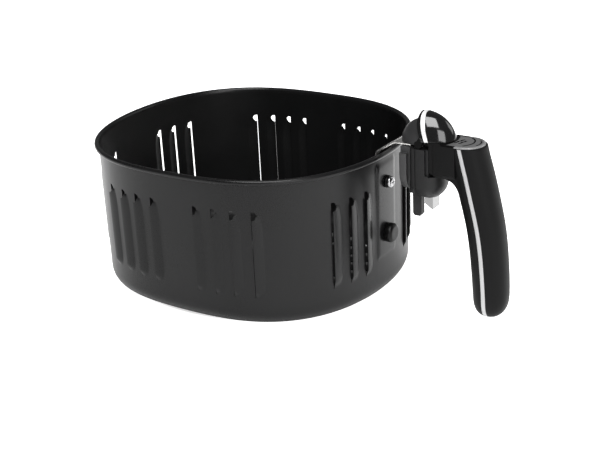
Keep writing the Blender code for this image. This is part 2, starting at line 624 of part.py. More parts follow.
# ---------------------------------------------------------------- grip
AXIS = [(0.0, 169.9), (5.0, 169.9), (20.0, 169.6), (41.0, 168.2), (55.0, 166.5), (65.0, 164.6), (80.0, 161.1),
        (91.0, 158.5), (100.0, 156.2), (110.0, 153.7)]
DEPTH = [(0.8, 3.6), (2.0, 6.1), (5.0, 8.5), (10.0, 9.8), (20.0, 10.2), (41.0, 10.5), (55.0, 10.7), (65.0, 10.9),
         (80.0, 11.2), (91.0, 11.5), (100.0, 11.7), (110.0, 12.0)]
BELLY = [(0.8, 0.0), (5.0, 0.6), (12.0, 1.2), (25.0, 1.4), (55.0, 1.4), (80.0, 1.2), (95.0, 0.5), (105.0, 0.0), (110.0, 0.0)]
WIDTH = [(0.8, 4.0), (2.0, 6.6), (5.0, 9.0), (10.0, 10.3), (20.0, 10.8), (41.0, 11.1), (55.0, 11.3), (65.0, 11.4),
         (80.0, 11.5), (91.0, 11.5), (110.0, 11.5)]
SQ = 2.3                        # squareness of the grip's section
SPLIT = 1.6                     # half the width of the seam between the shells
BAND = 1.3                      # half the width of the bright band in it
BAND_D = 2.2                    # how deep the band sits
GRIP_TOP = 107.9
LEVELS = [0.8, 2.0, 5.0, 10.0, 20.0, 31.0, 41.0, 55.0, 68.0, 80.0, 91.0, 100.0, GRIP_TOP]


def axis_at(z):
    return smooth_table(AXIS, z)


def grip_y(z, dx):
    """Half width of the section at a distance dx in front of or behind the axis."""
    a, w = smooth_table(DEPTH, z), smooth_table(WIDTH, z)
    return w * max(0.0, 1 - abs(dx / a) ** SQ) ** (1 / SQ)


def half_section(z, sign):
    """Half of the grip's outline, from near seam to far seam; the rear half is fuller."""
    a, w, xc = smooth_table(DEPTH, z), smooth_table(WIDTH, z), axis_at(z)
    if sign > 0:
        a += curve_at(BELLY, z)
    t0 = math.asin(min(0.9, (SPLIT / a) ** (SQ / 2)))
    pts = []
    n = 11
    for k in range(n):
        t = t0 + (math.pi - 2 * t0) * k / (n - 1)
        c, s = math.cos(t), math.sin(t)
        dx = a * abs(s) ** (2 / SQ)
        y = -w * math.copysign(abs(c) ** (2 / SQ), c)
        pts.append((xc + sign * dx, y, z))
    return pts


front = loft("handle_front", [half_section(z, -1) for z in LEVELS], M_MATTE)
rib = []
for z in [4.5, 10.0, 20.0, 31.0, 41.0, 55.0, 68.0, 80.0, 91.0, 100.0, GRIP_TOP]:
    xc, h = axis_at(z), smooth_table(WIDTH, z) - BAND_D - 0.5
    rib.append([(xc - 2.6, -h, z), (xc + BAND, -h, z), (xc + BAND, h, z), (xc - 2.6, h, z)])
boolean(front, [loft("rib", rib, M_MATTE)], 'UNION')


def neck_section(x, w, lo):
    r, r2 = 3.2, 0.8
    pts = []
    for cx, cz, rr, a0 in ((-w + r, lo + r, r, 180), (w - r, lo + r, r, 270), (w - r2, NECK_TOP - r2, r2, 0),
                           (-w + r2, NECK_TOP - r2, r2, 90)):
        for k in range(4):
            a = math.radians(a0 + 90 * k / 3)
            pts.append((x, cx + rr * math.cos(a), cz + rr * math.sin(a)))
    return pts


neck = loft("n", [neck_section(134.5, 11.0, 88.1), neck_section(136.9, 11.0, 88.1), neck_section(137.3, 11.5, NECK_LOW),
                  neck_section(148.0, 11.5, NECK_LOW), neck_section(151.6, 11.5, NECK_LOW)], M_MATTE)
fillet = extrude_y("f", [(143.0, 92.0), (143.0, 88.0), (145.8, 87.5), (149.0, 86.3), (151.6, 83.8), (153.5, 80.2),
                         (155.4, 74.0), (158.6, 74.0), (156.6, 86.0), (155.8, 92.0)], (-10.0, 10.0), M_MATTE)
boolean(front, [neck, fillet], 'UNION')

# top plate in a shallow recess over the grip
PLATE_X0, PLATE_CX, PLATE_R = 141.6, 154.0, 11.3


def plate_outline(off, z, n=9):
    r = PLATE_R - off
    x0 = PLATE_X0 + off
    rc = max(0.5, 1.6 - off)
    pts = []
    for k in range(n + 4):
        a = math.radians(-90 + 180 * k / (n + 3))
        pts.append((PLATE_CX + r * math.cos(a), r * math.sin(a), z))
    for k in range(5):
        a = math.radians(90 + 90 * k / 4)
        pts.append((x0 + rc + rc * math.cos(a), r - rc + rc * math.sin(a), z))
    for k in range(5):
        a = math.radians(180 + 90 * k / 4)
        pts.append((x0 + rc + rc * math.cos(a), -r + rc + rc * math.sin(a), z))
    return pts


recess = loft("r", [plate_outline(-0.3, GRIP_TOP), plate_outline(-0.3, 112.0)], M_MATTE)
boolean(front, [recess, box("w", WELL[0], WELL[1], M_MATTE)], 'DIFFERENCE')
rear = loft("handle_rear", [half_section(z, 1) for z in LEVELS], M_MATTE)

loft("top_plate", [plate_outline(1.9, GRIP_TOP + GAP), plate_outline(1.9, 109.0)], M_LABEL)
brd = loft("top_plate_border", [plate_outline(0.0, GRIP_TOP + GAP), plate_outline(0.0, 108.5), plate_outline(0.35, 109.0)],
           M_BORDER)
boolean(brd, [loft("b", [plate_outline(1.6, 105.0), plate_outline(1.6, 112.0)], M_BORDER)], 'DIFFERENCE')

# bright band: down one side, under the end and up the other
contour = [(-(smooth_table(WIDTH, z) + 0.12), z) for z in
           [GRIP_TOP - 0.1, 100.0, 91.0, 80.0, 68.0, 55.0, 41.0, 31.0, 20.0, 10.0, 5.0, 2.2, 0.9]]
contour += [(0.0, 0.62)] + [(-y, z) for y, z in contour[::-1]]
band = []
for i, (y, z) in enumerate(contour):
    p = contour[max(0, i - 1)]
    q = contour[min(len(contour) - 1, i + 1)]
    d = math.hypot(q[0] - p[0], q[1] - p[1])
    ny, nz = -(q[1] - p[1]) / d, (q[0] - p[0]) / d
    if i in (0, len(contour) - 1):
        ny, nz = (1.0, 0.0) if i == 0 else (-1.0, 0.0)
    yi, zi = y + ny * BAND_D, z + nz * BAND_D
    band.append([(axis_at(z) - BAND, y, z), (axis_at(z) + BAND, y, z), (axis_at(zi) + BAND, yi, zi),
                 (axis_at(zi) - BAND, yi, zi)])
loft("silver_band", band, M_SILVER)

# moving pieces turn or slide about an origin on their own axis
for nm, org in (("button_cover", (PIV_X, 0, PIV_Z)), ("cover_trim_ring", (PIV_X, 0, PIV_Z)),
                ("cover_pin_near", (PIV_X, 0, PIV_Z)), ("cover_pin_far", (PIV_X, 0, PIV_Z)),
                ("release_button", (134.4, 0, 97.0)), ("latch_lever", (LEVER_X, 0, LEVER_Z)),
                ("latch_hook", (LEVER_X, 0, LEVER_Z)), ("button_spring", (135.25, 0, 90.8)),
                ("latch_spring", (LEVER_X, 0, LEVER_Z))):
    ob = bpy.data.objects[nm]
    v = Vector([c * MM for c in org])
    ob.data.transform(Matrix.Translation(-v))
    ob.location = v
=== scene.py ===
# The looks of the air fryer basket with its release handle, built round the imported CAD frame.
# Lengths in the mesh code are millimetres; make() scales them to metres.
import math
import bpy
import bmesh
import numpy as np
from mathutils import Vector, Matrix
from mathutils.geometry import delaunay_2d_cdt


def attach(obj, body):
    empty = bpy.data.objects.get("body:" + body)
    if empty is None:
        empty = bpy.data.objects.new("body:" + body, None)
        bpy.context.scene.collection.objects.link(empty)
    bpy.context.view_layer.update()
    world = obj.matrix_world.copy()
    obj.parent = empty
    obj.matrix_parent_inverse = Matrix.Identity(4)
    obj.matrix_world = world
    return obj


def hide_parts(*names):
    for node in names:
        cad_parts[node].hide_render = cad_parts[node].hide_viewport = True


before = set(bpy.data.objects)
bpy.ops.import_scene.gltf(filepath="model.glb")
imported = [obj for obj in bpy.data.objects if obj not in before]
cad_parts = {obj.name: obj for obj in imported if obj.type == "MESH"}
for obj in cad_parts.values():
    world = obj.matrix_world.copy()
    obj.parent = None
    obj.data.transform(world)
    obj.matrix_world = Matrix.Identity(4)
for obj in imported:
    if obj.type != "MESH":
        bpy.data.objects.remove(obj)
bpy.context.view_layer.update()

MM = 0.001
scene = bpy.context.scene


# ---------------------------------------------------------------- mesh helpers
def shade(me, deg=35.0):
    for p in me.polygons:
        p.use_smooth = True
    me.set_sharp_from_angle(angle=math.radians(deg))


def make(name, verts, faces, mat, deg=35.0, merge=1e-7):
    me = bpy.data.meshes.new(name)
    me.from_pydata([tuple(c * MM for c in v) for v in verts], [], [tuple(f) for f in faces])
    me.update()
    bm = bmesh.new()
    bm.from_mesh(me)
    bmesh.ops.remove_doubles(bm, verts=bm.verts, dist=merge)
    bmesh.ops.recalc_face_normals(bm, faces=bm.faces)
    bm.to_mesh(me)
    bm.free()
    shade(me, deg)
    ob = bpy.data.objects.new(name, me)
    scene.collection.objects.link(ob)
    if mat is not None:
        me.materials.append(mat)
    return ob


def loft(name, secs, mat, cap=True, deg=35.0):
    n, m = len(secs[0]), len(secs)
    verts = [p for s in secs for p in s]
    faces = []
    for i in range(m - 1):
        for k in range(n):
            k2 = (k + 1) % n
            faces.append((i * n + k, i * n + k2, (i + 1) * n + k2, (i + 1) * n + k))
    if cap:
        faces.append(tuple(range(n))[::-1])
        faces.append(tuple(range((m - 1) * n, m * n)))
    return make(name, verts, faces, mat, deg)


def lathe(name, prof, origin, axis, mat, seg=64, deg=35.0):
    ax = {'x': Vector((1, 0, 0)), 'y': Vector((0, 1, 0)), 'z': Vector((0, 0, 1))}[axis]
    u = {'x': Vector((0, 1, 0)), 'y': Vector((0, 0, 1)), 'z': Vector((1, 0, 0))}[axis]
    w = ax.cross(u)
    o = Vector(origin)
    verts, faces, rings = [], [], []
    for r, h in prof:
        if r < 1e-6:
            rings.append([len(verts)])
            verts.append(tuple(o + ax * h))
        else:
            ring = []
            for k in range(seg):
                a = 2 * math.pi * k / seg
                ring.append(len(verts))
                verts.append(tuple(o + ax * h + (u * math.cos(a) + w * math.sin(a)) * r))
            rings.append(ring)
    for a, b in zip(rings[:-1], rings[1:]):
        for k in range(seg):
            k2 = (k + 1) % seg
            if len(a) == 1 and len(b) == 1:
                continue
            if len(a) == 1:
                faces.append((a[0], b[k], b[k2]))
            elif len(b) == 1:
                faces.append((a[k], a[k2], b[0]))
            else:
                faces.append((a[k], a[k2], b[k2], b[k]))
    return make(name, verts, faces, mat, deg)


def cube(name, lo, hi, mat, bevel=0.0, seg=3):
    (x0, y0, z0), (x1, y1, z1) = lo, hi
    v = [(x, y, z) for x in (x0, x1) for y in (y0, y1) for z in (z0, z1)]
    f = [(0, 1, 3, 2), (4, 6, 7, 5), (0, 4, 5, 1), (2, 3, 7, 6), (0, 2, 6, 4), (1, 5, 7, 3)]
    ob = make(name, v, f, mat)
    if bevel > 0:
        bm = bmesh.new()
        bm.from_mesh(ob.data)
        bmesh.ops.bevel(bm, geom=bm.edges[:], offset=bevel * MM, segments=seg, affect='EDGES', profile=0.5)
        bmesh.ops.recalc_face_normals(bm, faces=bm.faces)
        bm.to_mesh(ob.data)
        bm.free()
        shade(ob.data)
    return ob


def prism(name, outline, ys, mat, deg=35.0):
    """A side profile (x, z) pushed along Y."""
    return loft(name, [[(x, y, z) for x, z in outline] for y in ys], mat, deg=deg)


def boolean(ob, others, op, deg=35.0):
    for c in others:
        m = ob.modifiers.new("b", 'BOOLEAN')
        m.operation = op
        m.solver = 'EXACT'
        m.object = c
        dg = bpy.context.evaluated_depsgraph_get()
        dg.update()
        me = bpy.data.meshes.new_from_object(ob.evaluated_get(dg))
        ob.modifiers.clear()
        old = ob.data
        ob.data = me
        me.name = ob.name
        bpy.data.meshes.remove(old)
        bpy.data.objects.remove(c, do_unlink=True)
    bm = bmesh.new()
    bm.from_mesh(ob.data)
    bmesh.ops.remove_doubles(bm, verts=bm.verts, dist=2e-6)
    bmesh.ops.dissolve_degenerate(bm, edges=bm.edges, dist=2e-6)
    bmesh.ops.recalc_face_normals(bm, faces=bm.faces)
    bm.to_mesh(ob.data)
    bm.free()
    shade(ob.data, deg)
    return ob


def soften(ob, width, seg=3, deg=28.0):
    """Round the sharp edges of a moulded or pressed piece."""
    m = ob.modifiers.new("edge", 'BEVEL')
    m.width = width * MM
    m.segments = seg
    m.limit_method = 'ANGLE'
    m.angle_limit = math.radians(deg)
    m.use_clamp_overlap = True
    m.miter_outer = 'MITER_ARC'
    m.harden_normals = False
    return ob


def bake(ob, deg=35.0):
    dg = bpy.context.evaluated_depsgraph_get()
    dg.update()
    me = bpy.data.meshes.new_from_object(ob.evaluated_get(dg))
    ob.modifiers.clear()
    old = ob.data
    ob.data = me
    me.name = ob.name
    bpy.data.meshes.remove(old)
    shade(me, deg)
    return ob


def remesh(ob, voxel, smooth=3, factor=0.5, deg=50.0):
    """One continuous moulded skin with small fillets in every corner."""
    m = ob.modifiers.new("r", 'REMESH')
    m.mode = 'VOXEL'
    m.voxel_size = voxel * MM
    m.adaptivity = 0.0
    m.use_smooth_shade = True
    s = ob.modifiers.new("s", 'SMOOTH')
    s.factor = factor
    s.iterations = smooth
    return bake(ob, deg)


def table_at(table, t):
    ts = [a for a, _ in table]
    vs = [b for _, b in table]
    if t <= ts[0]:
        return vs[0]
    if t >= ts[-1]:
        return vs[-1]
    i = min(max(k for k in range(len(ts)) if ts[k] <= t), len(ts) - 2)
    h = ts[i + 1] - ts[i]

    def slope(k):
        if k == 0:
            return (vs[1] - vs[0]) / (ts[1] - ts[0])
        if k == len(ts) - 1:
            return (vs[-1] - vs[-2]) / (ts[-1] - ts[-2])
        return (vs[k + 1] - vs[k - 1]) / (ts[k + 1] - ts[k - 1])
    s = (t - ts[i]) / h
    a, b = slope(i) * h, slope(i + 1) * h
    return ((2 * s ** 3 - 3 * s ** 2 + 1) * vs[i] + (s ** 3 - 2 * s ** 2 + s) * a
            + (-2 * s ** 3 + 3 * s ** 2) * vs[i + 1] + (s ** 3 - s ** 2) * b)


def sstep(a, b, x):
    s = min(1.0, max(0.0, (x - a) / (b - a)))
    return s * s * (3 - 2 * s)


# ---------------------------------------------------------------- materials
class Mat:
    """A Principled material with helpers for procedural detail in object coordinates."""

    def __init__(self, name, color, rough, metal=0.0, spec=0.5, coat=0.0, coat_rough=0.05, ior=1.5):
        self.m = bpy.data.materials.new(name)
        self.m.use_nodes = True
        self.nt = self.m.node_tree
        self.b = self.nt.nodes["Principled BSDF"]
        self.b.inputs["Base Color"].default_value = (*color, 1)
        self.b.inputs["Roughness"].default_value = rough
        self.b.inputs["Metallic"].default_value = metal
        self.b.inputs["Specular IOR Level"].default_value = spec
        self.b.inputs["Coat Weight"].default_value = coat
        self.b.inputs["Coat Roughness"].default_value = coat_rough
        self.b.inputs["IOR"].default_value = ior
        self.tc = self.nt.nodes.new("ShaderNodeTexCoord")
        self.normal = None

    def node(self, kind, **kw):
        n = self.nt.nodes.new(kind)
        for k, v in kw.items():
            setattr(n, k, v)
        return n

    def coords(self, stretch=(1, 1, 1)):
        mp = self.node("ShaderNodeMapping")
        mp.inputs["Scale"].default_value = stretch
        self.nt.links.new(self.tc.outputs["Object"], mp.inputs["Vector"])
        return mp.outputs["Vector"]

    def noise(self, per_mm, detail=2.0, rough=0.5, stretch=(1, 1, 1), distort=0.0):
        n = self.node("ShaderNodeTexNoise")
        n.inputs["Scale"].default_value = per_mm * 1000.0
        n.inputs["Detail"].default_value = detail
        n.inputs["Roughness"].default_value = rough
        n.inputs["Distortion"].default_value = distort
        self.nt.links.new(self.coords(stretch), n.inputs["Vector"])
        return n.outputs["Fac"]

    def voronoi(self, per_mm, feature='F1', stretch=(1, 1, 1)):
        n = self.node("ShaderNodeTexVoronoi", feature=feature)
        n.inputs["Scale"].default_value = per_mm * 1000.0
        self.nt.links.new(self.coords(stretch), n.inputs["Vector"])
        return n.outputs["Distance"]

    def ramp(self, fac, stops, mode='LINEAR'):
        r = self.node("ShaderNodeValToRGB")
        r.color_ramp.interpolation = mode
        e = r.color_ramp.elements
        while len(e) > 1:
            e.remove(e[0])
        e[0].position = stops[0][0]
        e[0].color = self._c(stops[0][1])
        for p, c in stops[1:]:
            q = e.new(p)
            q.color = self._c(c)
        self.nt.links.new(fac, r.inputs["Fac"])
        return r.outputs["Color"]

    @staticmethod
    def _c(c):
        return (c, c, c, 1) if isinstance(c, (int, float)) else (*c, 1)

    def mix(self, fac, a, b, blend='MIX'):
        n = self.node("ShaderNodeMix", data_type='RGBA', blend_type=blend)
        for sock, v in (("Factor", fac), ("A", a), ("B", b)):
            inp = [i for i in n.inputs if i.name == sock and i.type == ('VALUE' if sock == "Factor" else 'RGBA')][0]
            if isinstance(v, (int, float)):
                inp.default_value = v if sock == "Factor" else (v, v, v, 1)
            elif isinstance(v, tuple):
                inp.default_value = (*v, 1)
            else:
                self.nt.links.new(v, inp)
        return [o for o in n.outputs if o.type == 'RGBA'][0]

    def math(self, op, a, b=0.0, clamp=False):
        n = self.node("ShaderNodeMath", operation=op, use_clamp=clamp)
        for i, v in enumerate((a, b)):
            if isinstance(v, (int, float)):
                n.inputs[i].default_value = v
            else:
                self.nt.links.new(v, n.inputs[i])
        return n.outputs[0]

    def range(self, fac, lo, hi, a=0.3, b=0.7):
        n = self.node("ShaderNodeMapRange")
        n.inputs["From Min"].default_value = a
        n.inputs["From Max"].default_value = b
        n.inputs["To Min"].default_value = lo
        n.inputs["To Max"].default_value = hi
        self.nt.links.new(fac, n.inputs["Value"])
        return n.outputs[0]

    def bump(self, height, dist_mm, strength=1.0):
        n = self.node("ShaderNodeBump")
        n.inputs["Strength"].default_value = strength
        n.inputs["Distance"].default_value = dist_mm * MM
        self.nt.links.new(height, n.inputs["Height"])
        if self.normal is not None:
            self.nt.links.new(self.normal, n.inputs["Normal"])
        self.normal = n.outputs["Normal"]
        self.nt.links.new(self.normal, self.b.inputs["Normal"])
        return self

    def set(self, sock, out):
        self.nt.links.new(out, self.b.inputs[sock])
        return self


def coating(name, base, rough, grain=1.0, spec=0.5):
    """Baked non-stick coating: satin black with tiny lighter flecks and slight orange peel."""
    k = Mat(name, base, rough, spec=spec)
    flecks = k.voronoi(2.6)
    mask = k.ramp(flecks, [(0.0, 1.0), (0.10, 0.5), (0.20, 0.0)])
    patch = k.noise(0.02, 3.0)
    tone = k.mix(k.range(patch, 0.0, 1.0), tuple(c * 0.8 for c in base), tuple(c * 1.25 for c in base))
    k.set("Base Color", k.mix(k.math('MULTIPLY', mask, 0.25), tone, (0.07, 0.07, 0.072)))
    k.set("Roughness", k.math('ADD', k.range(patch, rough - 0.035, rough + 0.035),
                              k.range(k.noise(1.6, 2.0), -0.03, 0.03)))
    k.bump(k.noise(0.35, 2.0), 0.010 * grain)
    k.bump(k.noise(3.0, 2.0), 0.004 * grain)
    return k.m


def moulded(name, base, rough, spec=0.35, grain=0.012, per_mm=3.2, worn=0.0):
    """Moulded plastic with a fine spark-eroded grain and faint handling marks."""
    k = Mat(name, base, rough, spec=spec)
    marks = k.noise(0.035, 4.0, 0.6, distort=0.4)
    k.set("Base Color", k.mix(k.range(marks, 0.0, 1.0), tuple(c * 0.85 for c in base), tuple(c * 1.2 for c in base)))
    k.set("Roughness", k.math('ADD', k.range(marks, rough - 0.04, rough + 0.04),
                              k.range(k.noise(per_mm, 1.0), -0.05, 0.05)))
    k.bump(k.noise(per_mm, 2.0, 0.6), grain)
    k.bump(k.noise(0.25, 2.0), grain * 0.5)
    return k.m


def plate_painted_shade(name, base, rough, spec, shade_radius):
    """Plate plastic with painted shade: near-black and dull within a radius round the cover, standing in for the
    cover's shadow on the plate.
    """
    k = Mat(name, base, rough, spec=spec)
    sep = k.node("ShaderNodeSeparateXYZ")
    k.nt.links.new(k.tc.outputs["Object"], sep.inputs["Vector"])
    dx = k.math('SUBTRACT', sep.outputs["X"], 0.1273)
    dy = sep.outputs["Y"]
    r = k.math('SQRT', k.math('ADD', k.math('MULTIPLY', dx, dx), k.math('MULTIPLY', dy, dy)))
    # Painted shade: inside the radius round the cover the colour drops to near-black with little sheen, where the
    # cover's shadow falls.
    k.set("Base Color", k.mix(k.range(r, 0.0, 1.0, shade_radius - 0.0002, shade_radius + 0.0002), (0.0020, 0.0020, 0.0020), base))
    k.set("Specular IOR Level", k.range(r, 0.04, spec, shade_radius - 0.0002, shade_radius + 0.0002))
    k.set("Roughness", k.range(r, 0.6, rough, shade_radius - 0.0002, shade_radius + 0.0002))
    k.bump(k.noise(3.0, 2.0, 0.6), 0.004)
    return k.m


def metal(name, base, rough, streak=(1, 1, 1), per_mm=1.5, depth=0.003, dents=0.0):
    k = Mat(name, base, rough, metal=1.0)
    s = k.noise(per_mm, 3.0, 0.6, stretch=streak)
    m = k.noise(0.06, 3.0)
    k.set("Roughness", k.math('ADD', k.range(s, rough - 0.07, rough + 0.09), k.range(m, -0.03, 0.04)))
    k.set("Base Color", k.mix(k.range(m, 0.0, 1.0), tuple(c * 0.92 for c in base), base))
    k.bump(s, depth)
    if dents:
        k.bump(k.noise(0.22, 2.0), dents)
    return k.m


def satin(name, base, rough, metallic):
    """Bright plated or lacquered trim: even, faintly streaked."""
    k = Mat(name, base, rough, metal=metallic, spec=0.5)
    s = k.noise(0.5, 3.0, stretch=(1, 0.2, 1))
    k.set("Base Color", k.mix(k.range(s, 0.0, 1.0), tuple(c * 0.94 for c in base), base))
    k.set("Roughness", k.range(k.noise(1.2, 2.0), rough - 0.05, rough + 0.05))
    k.bump(s, 0.002)
    return k.m


M_OUT = coating("coating_outside", (0.0034, 0.0034, 0.0036), 0.30, spec=0.22)
M_IN = coating("coating_inside", (0.0035, 0.0035, 0.0036), 0.42, spec=0.25)
M_STEEL = metal("strap_steel", (0.78, 0.77, 0.75), 0.24, streak=(0.08, 1, 1), per_mm=2.4, depth=0.004)
M_ZINC = metal("zinc_plate", (0.36, 0.36, 0.365), 0.20, per_mm=2.0, depth=0.006, dents=0.02)
M_FOLD = metal("folded_sheet", (0.25, 0.25, 0.25), 0.16, streak=(1, 1, 0.15), per_mm=1.8, depth=0.008, dents=0.08)
M_CHROME = satin("bright_trim", (0.80, 0.80, 0.80), 0.30, 0.35)
M_MATTE = moulded("matte_black", (0.0030, 0.0030, 0.0031), 0.52, spec=0.10)
M_DARK = moulded("hinge_black", (0.0020, 0.0020, 0.0020), 0.6, spec=0.08)
M_HOUSE = moulded("housing_black", (0.0055, 0.0055, 0.0057), 0.44, spec=0.22)
M_MOUNT = moulded("mount_black", (0.0170, 0.0170, 0.0175), 0.46, spec=0.42)
M_CAP = moulded("satin_dome", (0.0150, 0.0150, 0.0155), 0.40, spec=0.45, grain=0.006)
M_GREY = moulded("grey_lever", (0.0160, 0.0160, 0.0163), 0.50, spec=0.18)
M_RUBBER = moulded("rubber", (0.0014, 0.0014, 0.0014), 0.34, spec=0.16, grain=0.010, per_mm=1.8)
# Both plate materials carry painted shade round the cover.
M_PLATE = plate_painted_shade("plate_grey", (0.085, 0.085, 0.086), 0.16, 0.5, 0.0204)
M_EDGE = plate_painted_shade("plate_border", (0.16, 0.16, 0.162), 0.16, 0.5, 0.0262)
M_INK = moulded("plate_mark", (0.0015, 0.0015, 0.0015), 0.8, spec=0.0, grain=0.002)


def gloss():
    k = Mat("gloss_black", (0.0020, 0.0020, 0.0021), 0.09, spec=0.68)
    fine = k.noise(0.5, 4.0, 0.65, stretch=(1, 1, 0.25))
    hair = k.ramp(k.noise(1.4, 1.0, stretch=(0.06, 1, 1)), [(0.0, 0.0), (0.62, 0.0), (0.72, 1.0)])
    k.set("Roughness", k.math('ADD', k.range(fine, 0.08, 0.125), k.math('MULTIPLY', hair, 0.03)))
    k.bump(k.noise(0.12, 1.0), 0.010)
    return k.m


def inlay():
    k = Mat("silver_inlay", (0.40, 0.40, 0.40), 0.42, metal=0.5, spec=0.4)
    flake = k.voronoi(5.0)
    k.set("Base Color", k.mix(k.ramp(flake, [(0.0, 1.0), (0.5, 0.0)]), (0.35, 0.35, 0.352), (0.43, 0.43, 0.43)))
    k.set("Roughness", k.range(k.noise(0.8, 3.0), 0.32, 0.44))
    k.bump(k.noise(1.5, 2.0), 0.004)
    return k.m


M_GLOSS = gloss()
M_SILVER = inlay()

# ---------------------------------------------------------------- basket
PLAN_R = 100.0
BEAD_R, BEAD_Z = 1.7, 94.9
SHEET = 0.8
WALL_IN, TAPER = 2.8, 0.84
CORNER = 10.0
LO, HI = 19.8, 76.0
LOUVRE_OUT = 1.85
LOUVRE_W = 3.9
LONG = (-35.1, -26.9, -19.3, -11.0, 9.9, 17.9, 25.3, 33.2)
SHORT = (-28.4, -20.7, -13.2, 16.3, 23.8, 31.3)
PAD, PAD_OUT = 6.6, 0.8
SCREW_Z, PLUG_Z = 76.0, 42.0


def plan(t):
    return PLAN_R * (1 + 0.0483 * math.cos(2 * t) - 0.0291 * math.cos(4 * t) + 0.0010 * math.cos(6 * t))


def wall_offset(z):
    return -(WALL_IN + TAPER * (BEAD_Z - z) / BEAD_Z)


WALL_X = plan(0.0) + wall_offset(60.0) + PAD_OUT
MOUTH = 0.44                        # width of the open mouth, as a share of the louvre


def tongue(u, z):
    """How far the louvre stands out at a share u of its width and a height z."""
    if z > 62.0:
        wide = 0.52 + 0.48 * math.sqrt(max(0.0, 1 - ((z - 62.0) / 12.2) ** 2))
    elif z < 29.0:
        wide = 0.12 + 0.88 * math.sqrt(max(0.0, 1 - ((29.0 - z) / 9.3) ** 2))
    else:
        wide = 1.0
    s = u / wide
    if s >= 1.0:
        return 0.0
    rise = sstep(LO, LO + 5.5, z)
    return LOUVRE_OUT * rise * (1 - s ** 1.55)


def pad_rise(deg, z):
    side = sstep(PAD, PAD - 0.75, abs(deg)) if abs(deg) < PAD else 0.0
    up = sstep(26.0, 29.5, z) * (1 - sstep(86.5, 91.0, z))
    return PAD_OUT * side * up


